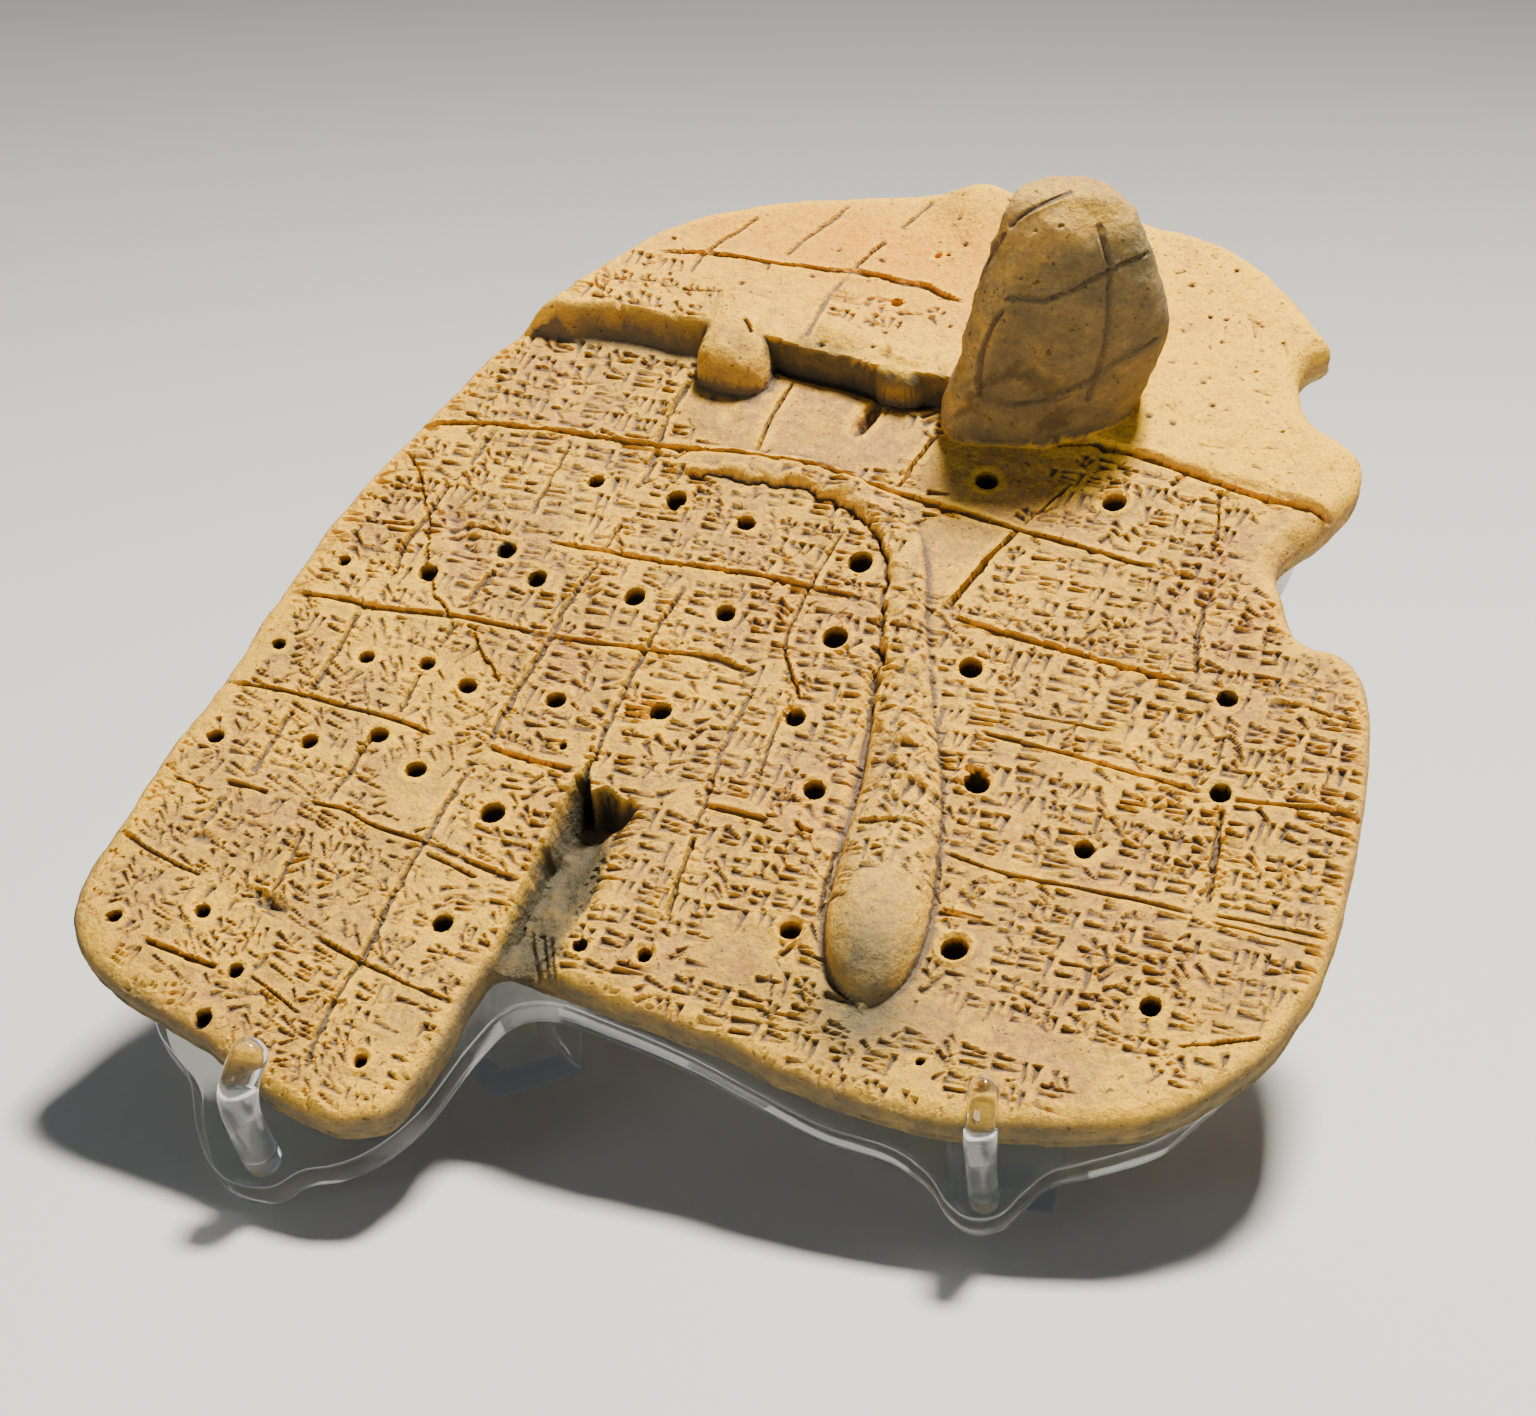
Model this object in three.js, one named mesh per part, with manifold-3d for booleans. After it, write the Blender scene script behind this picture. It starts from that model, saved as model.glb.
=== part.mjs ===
// Clay liver tablet with ruled cells and peg holes, resting on its clear acrylic cradle.
// Millimetres, +Z up. The tablet is drawn flat in its own face frame: x runs along the
// ruled lines, y up the face, z out of the face, with z = 0 on the inscribed face.
import * as THREE from 'three';
import { mergeVertices } from 'three/addons/utils/BufferGeometryUtils.js';
import Module from 'manifold-3d';

const wasm = await Module();
wasm.setup();

// Pose of the face frame in the room
const leanBack = THREE.MathUtils.degToRad(33.7);
const turnInPlane = THREE.MathUtils.degToRad(-11.1);
const facePlace = new THREE.Vector3(6.54, -4.37, 54.1);

// Clay body
const rimZ = -2.5;
const faceEdge = 3;
const underEdge = 0.8;
const underEdgeZ = -4.5;
const bodyDepth = 12;
const outlineSteps = 132;

// Convex back: shares of the outline about its middle, and the height of each
const backMiddle = [-1, 0];
const backLevels = [[0.7, -bodyDepth], [0.82, -11.3], [0.91, -9.6], [0.97, -7.4], [1.01, -5], [1.04, 60]];
const backSteps = 66;

// Terrace along the top of the face, and the plain field to the right of the lobe
const terraceRise = 5;
const terraceFall = 0.1;
const terraceStepY = 39;
const terraceEdge = 4;
const plainRise = 0.8;

// Carving
const grooveWidth = 0.8;
const grooveDepth = 0.9;
const holeDepth = 6;
const holeSides = 8;

// Clear cradle
const gap = 0.3;
const plateThick = 5;
const plateFront = -bodyDepth - gap;
const plateBack = plateFront - plateThick;
const legSide = 12.4;

// Clay rim, clockwise from the top of the lobe side
const rimPoints = [
  [12, 77], [23.5, 76.5], [33.5, 74.5], [42, 69.5], [47.5, 64.2], [50, 61.2],
  [48.3, 59.2], [47.2, 56], [50, 49.4], [54.2, 47], [57.6, 44.6], [58.2, 41], [56.4, 35],
  [52, 28.5], [51.4, 26.4], [53.4, 22], [56.6, 16.6], [62.1, 15.6], [65.4, 12],
  [67.9, 3.3], [69, -5], [69.8, -14.3], [69.7, -23.7], [68.4, -32], [65.7, -39.3],
  [60.7, -45.8], [56.3, -49.6], [49.1, -52.5], [36.4, -55.7], [27.3, -56.2],
  [17.8, -55.5], [7.8, -53.6], [-0.8, -52.5], [-13.8, -51.4], [-19.4, -51],
  [-20.6, -54], [-21, -60], [-22.4, -67.6], [-24.2, -72.6], [-29.2, -74.9],
  [-36.8, -73.8], [-48.8, -69.4], [-61.3, -66], [-67.2, -62.6], [-70.3, -58.6],
  [-71.1, -53], [-70.3, -46.7], [-69.5, -37], [-67.2, -23.3], [-65.7, -8.8],
  [-63.5, 5], [-60.4, 16], [-57.4, 25.3], [-54.2, 35], [-50.2, 40.5], [-45, 49.3],
  [-39.7, 57.6], [-33.3, 63.5], [-26, 67.4], [-14.6, 71.5], [-5.8, 74], [0, 75.4],
];

// Ruled lines, each a row of [x, y] places on the face
const levelLines = [
  [[-57.7, 20.4], [-49, 22.1], [-28.3, 24], [-15.4, 25.1], [-6.9, 25.2], [4.5, 24.3], [20, 22.8], [42.1, 21.1]],
  [[25.6, 38.2], [40, 36.6], [55.5, 35]],
  [[-34.2, 5.5], [-20.7, 6.7], [-7.2, 8.1], [6.6, 7.8]],
  [[-64, -9.7], [-56.3, -9.8], [-39.1, -7.5], [-17.8, -6.4], [-3.9, -6.1]],
  [[-65.4, -24.3], [-44.4, -23.9], [-31.1, -24.7], [-21.7, -24.7]],
  [[-59.4, -37.8], [-44.9, -37.9], [-32.1, -38.9], [-21, -40.6]],
  [[-69, -48], [-57.4, -50.3], [-47.9, -51.4], [-40.3, -54.5], [-21.4, -57.5]],
  [[-59.7, -60.1], [-45.7, -61.3], [-38.5, -63.9]],
  [[-3.1, -25.2], [13.4, -24.4]],
  [[16, 8.2], [45.5, 6.5], [65.4, 6]],
  [[30.2, -7.1], [51.9, -7.9], [68, -6.2]],
  [[25.8, -24.2], [54.1, -23.6], [69, -22.8]],
];
const uprightLines = [
  [[-54, -11.1], [-54.2, -20.6], [-57.1, -35.8], [-59.2, -45.2]],
  [[-42.7, -17.9], [-45.4, -29.1], [-47.7, -50.9]],
  [[-29.7, -11.8], [-30.9, -24.2], [-32.8, -39.1], [-35, -61.2], [-34.5, -71.5]],
  [[-16.6, 3.8], [-18.1, -10.6], [-18.1, -24.2]],
  [[-0.3, 17], [-2, -0.3], [2.6, -8.4]],
  [[-3.1, -7.5], [-3.5, -24.7], [-2.5, -41]],
  [[-27.3, 35.2], [-27.6, 19.5]],
  [[-14.3, 38], [-14.7, 25.6]],
  [[5.9, 34], [4, 25.6]],
  [[20.1, 22.9], [15.3, 9.6]],
  [[42.2, 34.9], [43.7, 27.1]],
  [[44.7, 18.3], [46.5, 7.2]],
  [[53.5, -9.7], [55.6, -23.5]],
];

// Lines on the terrace: one along it, four across it
const terraceLines = [
  [[-36.5, 51], [-30.7, 52.5], [-21.6, 52.9], [-12, 54], [-0.5, 53.9], [3.2, 52.3]],
  [[-25.7, 59.4], [-32.2, 49.2]],
  [[-15.4, 64.3], [-21.7, 51.9]],
  [[-8.7, 60], [-14, 44.8]],
  [[-5.2, 67.1], [-10.6, 54.3]],
];

// Peg holes of the face, row by row from the top: [x, y, diameter]
const faceHoles = [
  [14.2, 29.3, 3], [30.3, 29.8, 2.9],
  [-33.1, 16.6, 2.2], [-22.3, 16.6, 2.8], [-12.6, 15.3, 2.4], [3, 13.2, 3.2],
  [-40.1, 3.7, 2.5], [-34.7, 0.4, 2.6], [-21.9, 0.8, 2.7], [-10.4, 1.6, 2.6], [3.6, 1.7, 3.2],
  [20.6, 1.6, 3], [50.6, 5.5, 2.5],
  [-59.2, -3.4, 1.7], [-48.3, -2.2, 2.6], [53.1, -7.4, 2.6], [2.8, -10.7, 2.6],
  [-62, -17.2, 1.7], [-50.6, -16.2, 2], [-42.9, -15.2, 2.1], [-36.9, -16.9, 2.4],
  [-25.8, -15.9, 2.5], [-13, -14.2, 2.8], [8.2, -19.7, 2.8], [26, -13.8, 3.1], [40.3, -19, 2.5],
  [-63.6, -32, 2.1], [-52.2, -29.7, 2.2], [-44.5, -26.5, 2.4], [-38.2, -29.8, 2.5],
  [-27.1, -32.9, 3], [11.7, -38.4, 2.5], [30, -35.4, 3.1], [52.7, -36.5, 2.6],
  [-27, -48.3, 2.4], [-10.7, -46.6, 1.9], [-3.1, -45.9, 1.9],
  [-64.3, -58.2, 1.8], [-54.7, -54.6, 2], [-47.5, -60.8, 2], [-48.6, -67.3, 2.2], [-29, -67.4, 1.8],
];
const terraceHoles = [[-4.4, 51.5, 1.6]];

// Gall bladder in relief: [x, y, half width, height] down its middle
const bladderSections = [
  [7, 13.5, 1.2, 1.2], [9.6, 8, 2.3, 2.2], [13, -1, 2.9, 2.6], [15.6, -9.5, 3.9, 3],
  [17.8, -17, 4.9, 3.5], [19, -23, 5.3, 4.4], [20.2, -30, 5.6, 5.4], [21.1, -36, 5.3, 5.4],
  [22.2, -41, 3.9, 4.4], [22.8, -43.6, 2, 2.6],
];
// Duct that bends into it, the same way
const ductSections = [
  [-22.5, 22, 0.9, 0.7], [-16, 22.6, 1.5, 1.3], [-8, 23, 1.7, 1.5], [-1, 21.8, 1.8, 1.6],
  [4.6, 18.4, 1.8, 1.6], [8, 12.4, 1.6, 1.4],
];

// Standing lobe: [z, centre x, centre y, half width, half depth, turn in degrees]
const lobeSections = [
  [-3, 16.2, 45.8, 11.2, 11.2, 24], [0, 16.3, 45.5, 11.3, 10.8, 24], [6, 17.8, 45.4, 12, 9.8, 24],
  [13, 19.2, 46, 12, 9.6, 24], [20, 19.7, 46.6, 11, 8.8, 22], [26, 20, 46.9, 9.4, 7.2, 20],
  [31, 20, 47.1, 7.5, 4.8, 18], [33.6, 19.2, 47.3, 5.8, 2.4, 18],
];
const lobeSides = 24;
const lobeLevels = 13;
const lobeThreeSided = 0.1;
const lobeTop = [19.2, 47.4, 34.4];
const lobeTopShare = 0.6;

// Fissure between the two lower lobes: plan of its sunken floor
const fissureFloorZ = -6.2;
const fissurePlan = [[-20.2, -25.6], [-12, -26.2], [-12.6, -36], [-13.2, -44], [-20, -44], [-19.9, -40]];
const fissureMouthPlan = [[-13, -43], [-13.6, -54], [-20.6, -54], [-20, -43]];
const fissureMouthZ = -3.8;
const fissureRampPlan = [[-13.2, -27], [-8.5, -30], [-8, -40], [-7, -54], [-14, -54]];
const fissureRampZ = -2.6;

// Clear plate, clockwise from the foot of the left lobe
const platePoints = [
  [-42, -80.6], [-45.8, -79], [-49.5, -75], [-53, -69.6], [-59, -65.3], [-62.5, -59],
  [-65, -50], [-65, -40], [-63, -24], [-60, -5], [-56, 14], [-50, 31], [-43, 46],
  [-33, 58], [-20, 66], [-4, 70.5], [13, 73], [28, 71.5], [39, 66], [45, 59],
  [46, 50], [51, 43], [51, 34], [48, 26], [52, 17], [60, 10], [64.5, -3], [65.5, -19],
  [63.5, -33], [59, -42], [56.3, -46], [49.5, -50.8], [45.9, -53], [43.8, -56.3],
  [42, -59.6], [39, -60.9], [36, -59.7], [33.2, -57.2], [28.6, -55.4], [20, -54.9],
  [12, -53.2], [2, -50.9], [-9, -49.4], [-15.6, -49], [-19.8, -51], [-22.2, -56.4],
  [-24.9, -66.6], [-27.8, -71.8], [-31.4, -75.2], [-35, -77], [-37.4, -79.8],
];
const plateSteps = 120;

// Bent pegs standing on the plate: foot, tip and radius, and where along each its rings lie
const pegTop = 2.6;
const pegBend = 2.4;
const pegBendEnd = 0.42;
const pegSides = 16;
const pegStations = [0, 0.5, 0.54, 0.58, 0.62, 0.66, 0.7, 0.74, 0.78, 0.82, 0.9, 1];
const pegs = {
  left_peg: { foot: [-39.6, -77], tip: [-40.2, -69.6], tipZ: 3.2, radius: 2.2 },
  right_peg: { foot: [40, -58.4], tip: [38.4, -51], tipZ: 2.6, radius: 1.7 },
};

// Square legs under the plate: place on the ground from below the face's origin, and turn in degrees
const legs = {
  left_leg: { place: [-33.8, -12.2], turn: 44 },
  right_leg: { place: [28.9, -29.4], turn: -2 },
  rear_leg: { place: [5, 42], turn: 0 },
};

// Turn matrix of the face frame, without its place
const faceTurn = new THREE.Matrix4().makeRotationX(leanBack)
  .multiply(new THREE.Matrix4().makeRotationZ(turnInPlane));

// A closed three.js geometry as a solid
function solid(geometry) {
  const bare = geometry.clone();
  bare.deleteAttribute('normal');
  bare.deleteAttribute('uv');
  const merged = mergeVertices(bare, 1e-4);
  const vertProperties = new Float32Array(merged.getAttribute('position').array);
  const triVerts = new Uint32Array(merged.getIndex().array);
  return new wasm.Manifold(new wasm.Mesh({ numProp: 3, vertProperties, triVerts }));
}

// A solid as a three.js geometry again
function toGeometry(manifold) {
  const mesh = manifold.getMesh();
  const geometry = new THREE.BufferGeometry();
  const positions = new Float32Array(mesh.numVert * 3);
  for (let i = 0; i < mesh.numVert; i += 1) {
    for (let k = 0; k < 3; k += 1) {
      positions[3 * i + k] = mesh.vertProperties[mesh.numProp * i + k];
    }
  }
  geometry.setAttribute('position', new THREE.BufferAttribute(positions, 3));
  geometry.setIndex(new THREE.BufferAttribute(new Uint32Array(mesh.triVerts), 1));
  geometry.computeVertexNormals();
  return geometry;
}

// A smooth closed line through the given places, as evenly spaced points, counter-clockwise
function closedLine(places, steps) {
  const curve = new THREE.CatmullRomCurve3(
    places.map(([x, y]) => new THREE.Vector3(x, y, 0)), true, 'centripetal');
  const points = curve.getSpacedPoints(steps).slice(0, steps).map((p) => new THREE.Vector2(p.x, p.y));
  return THREE.ShapeUtils.isClockWise(points) ? points.reverse() : points;
}

// The line moved inwards by a distance, each point along the mean of its two sides' normals
function insetLine(points, distance) {
  return points.map((p, i) => {
    const before = points[(i + points.length - 1) % points.length];
    const after = points[(i + 1) % points.length];
    const along = after.clone().sub(before).normalize();
    return new THREE.Vector2(p.x - along.y * distance, p.y + along.x * distance);
  });
}

// A closed skin over level rings of equal count, lowest first, with flat caps
function ringSolid(rings) {
  const count = rings[0].length;
  const positions = rings.flat().flatMap((v) => [v.x, v.y, v.z]);
  const faces = [];
  for (let level = 0; level < rings.length - 1; level += 1) {
    for (let i = 0; i < count; i += 1) {
      const a = level * count + i;
      const b = level * count + (i + 1) % count;
      faces.push(a, b, b + count, a, b + count, a + count);
    }
  }
  const flat = (ring) => ring.map((v) => new THREE.Vector2(v.x, v.y));
  const top = (rings.length - 1) * count;
  for (const [a, b, c] of THREE.ShapeUtils.triangulateShape(flat(rings[0]), [])) {
    faces.push(a, c, b);
  }
  for (const [a, b, c] of THREE.ShapeUtils.triangulateShape(flat(rings[rings.length - 1]), [])) {
    faces.push(top + a, top + b, top + c);
  }
  const geometry = new THREE.BufferGeometry();
  geometry.setAttribute('position', new THREE.Float32BufferAttribute(positions, 3));
  geometry.setIndex(faces);
  return geometry;
}

// A straight block over a plan, from one height to another
function block(plan, low, high) {
  const points = plan.map(([x, y]) => new THREE.Vector2(x, y));
  if (THREE.ShapeUtils.isClockWise(points)) {
    points.reverse();
  }
  const level = (z) => points.map((p) => new THREE.Vector3(p.x, p.y, z));
  return solid(ringSolid([level(low), level(high)]));
}

// A cut of even width along a row of places
function groove(places, low, high) {
  const points = places.map(([x, y]) => new THREE.Vector2(x, y));
  const sides = points.map((p, i) => {
    const before = points[Math.max(i - 1, 0)];
    const after = points[Math.min(i + 1, points.length - 1)];
    const along = after.clone().sub(before).normalize();
    const across = new THREE.Vector2(-along.y, along.x).multiplyScalar(grooveWidth / 2);
    return [p.clone().add(across), p.clone().sub(across)];
  });
  const plan = [...sides.map((s) => s[0]), ...sides.map((s) => s[1]).reverse()];
  return block(plan.map((p) => [p.x, p.y]), low, high);
}

// A round hole sunk from above a surface at the given height
function hole([x, y, diameter], surface) {
  const drill = new THREE.CylinderGeometry(diameter / 2, diameter / 2, holeDepth + 4, holeSides);
  drill.rotateX(Math.PI / 2);
  drill.translate(x, y, surface + 4 - (holeDepth + 4) / 2);
  return solid(drill);
}

// A low rounded ridge over sections [x, y, half width, height], sunk into the face
function ridge(sections) {
  const path = new THREE.CatmullRomCurve3(sections.map(([x, y]) => new THREE.Vector3(x, y, 0)));
  const widths = new THREE.CatmullRomCurve3(
    sections.map(([, , width, height]) => new THREE.Vector3(width, height, 0)));
  const steps = 2 * (sections.length - 1);
  const arc = 8;
  const sunk = 2;
  const rings = [];
  for (let i = 0; i <= steps; i += 1) {
    const t = i / steps;
    const centre = path.getPoint(t);
    const size = widths.getPoint(t);
    const along = path.getTangent(t);
    const ring = [];
    for (let k = 0; k <= arc; k += 1) {
      const angle = Math.PI * k / arc;
      const across = -size.x * Math.cos(angle);
      ring.push(new THREE.Vector3(
        centre.x - along.y * across, centre.y + along.x * across, size.y * Math.sin(angle)));
    }
    for (const side of [1, -1]) {
      ring.push(new THREE.Vector3(
        centre.x - along.y * side * size.x, centre.y + along.x * side * size.x, -sunk));
    }
    rings.push(ring);
  }
  return solid(sweep(rings));
}

// A closed skin over rings that follow a path, each end closed by a fan from its middle
function sweep(rings) {
  const count = rings[0].length;
  const positions = rings.flat().flatMap((v) => [v.x, v.y, v.z]);
  const faces = [];
  for (let i = 0; i < rings.length - 1; i += 1) {
    for (let k = 0; k < count; k += 1) {
      const a = i * count + k;
      const b = i * count + (k + 1) % count;
      faces.push(a, b, b + count, a, b + count, a + count);
    }
  }
  const ends = [[rings[0], 0, -1], [rings[rings.length - 1], (rings.length - 1) * count, 1]];
  for (const [ring, start, way] of ends) {
    const middle = ring.reduce((sum, v) => sum.add(v), new THREE.Vector3()).divideScalar(count);
    const centre = positions.length / 3;
    positions.push(middle.x, middle.y, middle.z);
    for (let k = 0; k < count; k += 1) {
      const a = start + k;
      const b = start + (k + 1) % count;
      faces.push(...(way > 0 ? [a, b, centre] : [b, a, centre]));
    }
  }
  const geometry = new THREE.BufferGeometry();
  geometry.setAttribute('position', new THREE.Float32BufferAttribute(positions, 3));
  geometry.setIndex(faces);
  if (signedVolume(geometry) < 0) {
    geometry.setIndex(faces.map((_, i) => faces[i - (i % 3) + (2 - (i % 3))]));
  }
  return geometry;
}

// Volume with the sign of the way its faces turn
function signedVolume(geometry) {
  const place = geometry.getAttribute('position');
  const index = geometry.getIndex();
  const corner = [new THREE.Vector3(), new THREE.Vector3(), new THREE.Vector3()];
  let sum = 0;
  for (let i = 0; i < index.count; i += 3) {
    corner.forEach((v, k) => v.fromBufferAttribute(place, index.getX(i + k)));
    sum += corner[0].dot(corner[1].cross(corner[2])) / 6;
  }
  return sum;
}

// An egg-shaped swelling
function swelling(centre, radii, turn = 0) {
  const ball = new THREE.SphereGeometry(1, 14, 8);
  ball.scale(...radii);
  ball.rotateZ(THREE.MathUtils.degToRad(turn));
  ball.translate(...centre);
  return solid(ball);
}

// Slab of clay under one outline, its top edge rounded up to a height given for each place
function slab(line, topAt, edge, low) {
  const level = (inset, height) => insetLine(line, inset)
    .map((p) => new THREE.Vector3(p.x, p.y, height(p.x, p.y)));
  const rings = [];
  if (low) {
    rings.push(level(underEdge, () => -bodyDepth - 2));
    rings.push(level(underEdge, () => underEdgeZ));
    rings.push(level(underEdge / 4, () => (rimZ + underEdgeZ) / 2));
  } else {
    rings.push(level(1, () => rimZ - 1));
  }
  for (const share of [0, 0.3, 0.6, 1]) {
    const angle = share * Math.PI / 2;
    rings.push(level(edge * (1 - Math.cos(angle)),
      (x, y) => rimZ + (topAt(x, y) - rimZ) * Math.sin(angle)));
  }
  return solid(ringSolid(rings));
}

// All space in front of the convex back, as the outline scaled about its middle at each height
function convexBack() {
  const line = closedLine(rimPoints, backSteps);
  const [middleX, middleY] = backMiddle;
  return solid(ringSolid(backLevels.map(([share, z]) => line.map((p) => new THREE.Vector3(
    middleX + share * (p.x - middleX), middleY + share * (p.y - middleY), z)))));
}

// Standing lobe: rounded three-sided sections that shrink to a blunt top
function standingLobe() {
  const spread = (key) => new THREE.CatmullRomCurve3(
    lobeSections.map((s) => new THREE.Vector3(s[0], s[key[0]], s[key[1]])));
  const centres = spread([1, 2]);
  const sizes = spread([3, 4]);
  const rings = [];
  for (let i = 0; i <= lobeLevels; i += 1) {
    const t = i / lobeLevels;
    const centre = centres.getPoint(t);
    const size = sizes.getPoint(t);
    const turnAt = THREE.MathUtils.lerp(lobeSections[0][5], lobeSections.at(-1)[5], t);
    const turn = THREE.MathUtils.degToRad(turnAt);
    const ring = [];
    for (let k = 0; k < lobeSides; k += 1) {
      const angle = 2 * Math.PI * k / lobeSides;
      const reach = 1 + lobeThreeSided * Math.cos(3 * (angle - Math.PI / 2));
      const u = size.y * reach * Math.cos(angle);
      const v = size.z * reach * Math.sin(angle);
      ring.push(new THREE.Vector3(
        centre.y + u * Math.cos(turn) - v * Math.sin(turn),
        centre.z + u * Math.sin(turn) + v * Math.cos(turn),
        centre.x));
    }
    rings.push(ring);
  }
  rings.push(rings.at(-1).map((v) => v.clone().lerp(new THREE.Vector3(...lobeTop), lobeTopShare)));
  return solid(sweep(rings));
}

// The whole clay tablet in the face frame
function tabletGeometry() {
  const line = closedLine(rimPoints, outlineSteps);
  const terraceTop = (x, y) => terraceRise - terraceFall * Math.max(y - terraceStepY, 0);
  const far = 90;
  const above = 20;
  const terraceCut = block([[-far, terraceStepY - 2], [-52, 37], [-45, 37.8], [-38, 39.1], [-30, 39.2],
    [-14, 40], [-5, 39.2], [3, 39], [8, 42], [14, 60], [16, far], [-far, far]], rimZ, above);
  const plainCut = block([[6, 37], [24, 38.4], [40, 36.8], [60, 34.5], [far, 32], [far, far], [6, far]],
    rimZ, above);
  let clay = slab(line, () => 0, faceEdge, true);
  clay = clay.add(slab(line, terraceTop, terraceEdge, false).intersect(terraceCut));
  clay = clay.add(slab(line, () => plainRise, faceEdge, false).intersect(plainCut));
  clay = clay.intersect(convexBack());
  clay = clay.subtract(block(fissurePlan, fissureFloorZ, above));
  clay = clay.subtract(block(fissureMouthPlan, fissureMouthZ, above));
  clay = clay.subtract(block(fissureRampPlan, fissureRampZ, above));
  clay = clay.add(ridge(ductSections)).add(ridge(bladderSections));
  clay = clay.add(swelling([-22.6, 38.6, 2], [4.6, 8.4, 4.4], 10));
  clay = clay.add(swelling([0, 41.2, 2], [3.6, 4, 3]));
  clay = clay.add(swelling([0.6, 69.6, 0], [4.6, 5, 4]));
  clay = clay.add(standingLobe());
  for (const places of [...levelLines, ...uprightLines]) {
    clay = clay.subtract(groove(places, -grooveDepth, plainRise + 0.2));
  }
  for (const places of terraceLines) {
    const [, y] = places[Math.floor(places.length / 2)];
    const surface = terraceTop(0, y);
    clay = clay.subtract(groove(places, surface - grooveDepth - 0.3, surface + 1.2));
  }
  for (const place of faceHoles) {
    clay = clay.subtract(hole(place, 0));
  }
  for (const place of terraceHoles) {
    clay = clay.subtract(hole(place, terraceTop(place[0], place[1])));
  }
  return toGeometry(clay);
}

// The clear plate behind the tablet
function plateGeometry() {
  const line = closedLine(platePoints, plateSteps);
  const chamfer = 0.5;
  const level = (inset, z) => insetLine(line, inset).map((p) => new THREE.Vector3(p.x, p.y, z));
  return ringSolid([level(chamfer, plateBack), level(0, plateBack + chamfer),
    level(0, plateFront - chamfer), level(chamfer, plateFront)]);
}

// A round rod that stands on the plate and bends up over the edge of the clay
function pegGeometry({ foot, tip, tipZ, radius }) {
  const low = plateFront + gap;
  const path = new THREE.CurvePath();
  const bendZ = pegTop - pegBend * radius;
  const corner = new THREE.Vector3(foot[0], foot[1], pegTop);
  const end = new THREE.Vector3(tip[0], tip[1], tipZ);
  const after = corner.clone().lerp(end, pegBendEnd);
  const start = new THREE.Vector3(foot[0], foot[1], low);
  const bendStart = new THREE.Vector3(foot[0], foot[1], bendZ);
  path.add(new THREE.LineCurve3(start, bendStart));
  path.add(new THREE.QuadraticBezierCurve3(bendStart, corner, after));
  path.add(new THREE.LineCurve3(after, end));
  const rings = pegStations.map((t) => {
    const centre = path.getPoint(t);
    const along = path.getTangent(t);
    const across = new THREE.Vector3(1, 0, 0);
    across.addScaledVector(along, -across.dot(along)).normalize();
    const up = new THREE.Vector3().crossVectors(along, across);
    return Array.from({ length: pegSides }, (_, k) => {
      const angle = 2 * Math.PI * k / pegSides;
      return centre.clone()
        .addScaledVector(across, radius * Math.cos(angle))
        .addScaledVector(up, radius * Math.sin(angle));
    });
  });
  return sweep(rings);
}

// A square bar from the ground to just under the leaning plate
function legGeometry({ place, turn }) {
  const bar = new THREE.BoxGeometry(legSide, legSide, 1);
  bar.rotateZ(THREE.MathUtils.degToRad(turn));
  bar.translate(facePlace.x + place[0], facePlace.y + place[1], 0.5);
  const normal = new THREE.Vector3(0, 0, 1).transformDirection(faceTurn);
  const offset = facePlace.dot(normal) + plateBack - gap;
  const corner = bar.getAttribute('position');
  for (let i = 0; i < corner.count; i += 1) {
    if (corner.getZ(i) > 0.5) {
      corner.setZ(i, (offset - normal.x * corner.getX(i) - normal.y * corner.getY(i)) / normal.z);
    }
  }
  return bar;
}

const clayFinish = new THREE.MeshStandardMaterial({ color: 0xd9b780, roughness: 0.85, metalness: 0 });
const clearFinish = () => new THREE.MeshStandardMaterial({
  color: 0xe8f2ee, roughness: 0.05, metalness: 0, transparent: true, opacity: 0.35,
});

// Places a geometry in the group under its name
function addPiece(parent, name, geometry, material) {
  const mesh = new THREE.Mesh(geometry, material);
  mesh.name = name;
  parent.add(mesh);
}

const group = new THREE.Group();
const face = new THREE.Group();
face.position.copy(facePlace);
face.quaternion.setFromRotationMatrix(faceTurn);
group.add(face);

addPiece(face, 'tablet', tabletGeometry(), clayFinish);
addPiece(face, 'back_plate', plateGeometry(), clearFinish());
for (const [name, sizes] of Object.entries(pegs)) {
  addPiece(face, name, pegGeometry(sizes), clearFinish());
}
for (const [name, sizes] of Object.entries(legs)) {
  addPiece(group, name, legGeometry(sizes), clearFinish());
}

export default group;
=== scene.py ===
import bpy
import numpy as np
from mathutils import Matrix, Vector


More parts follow.
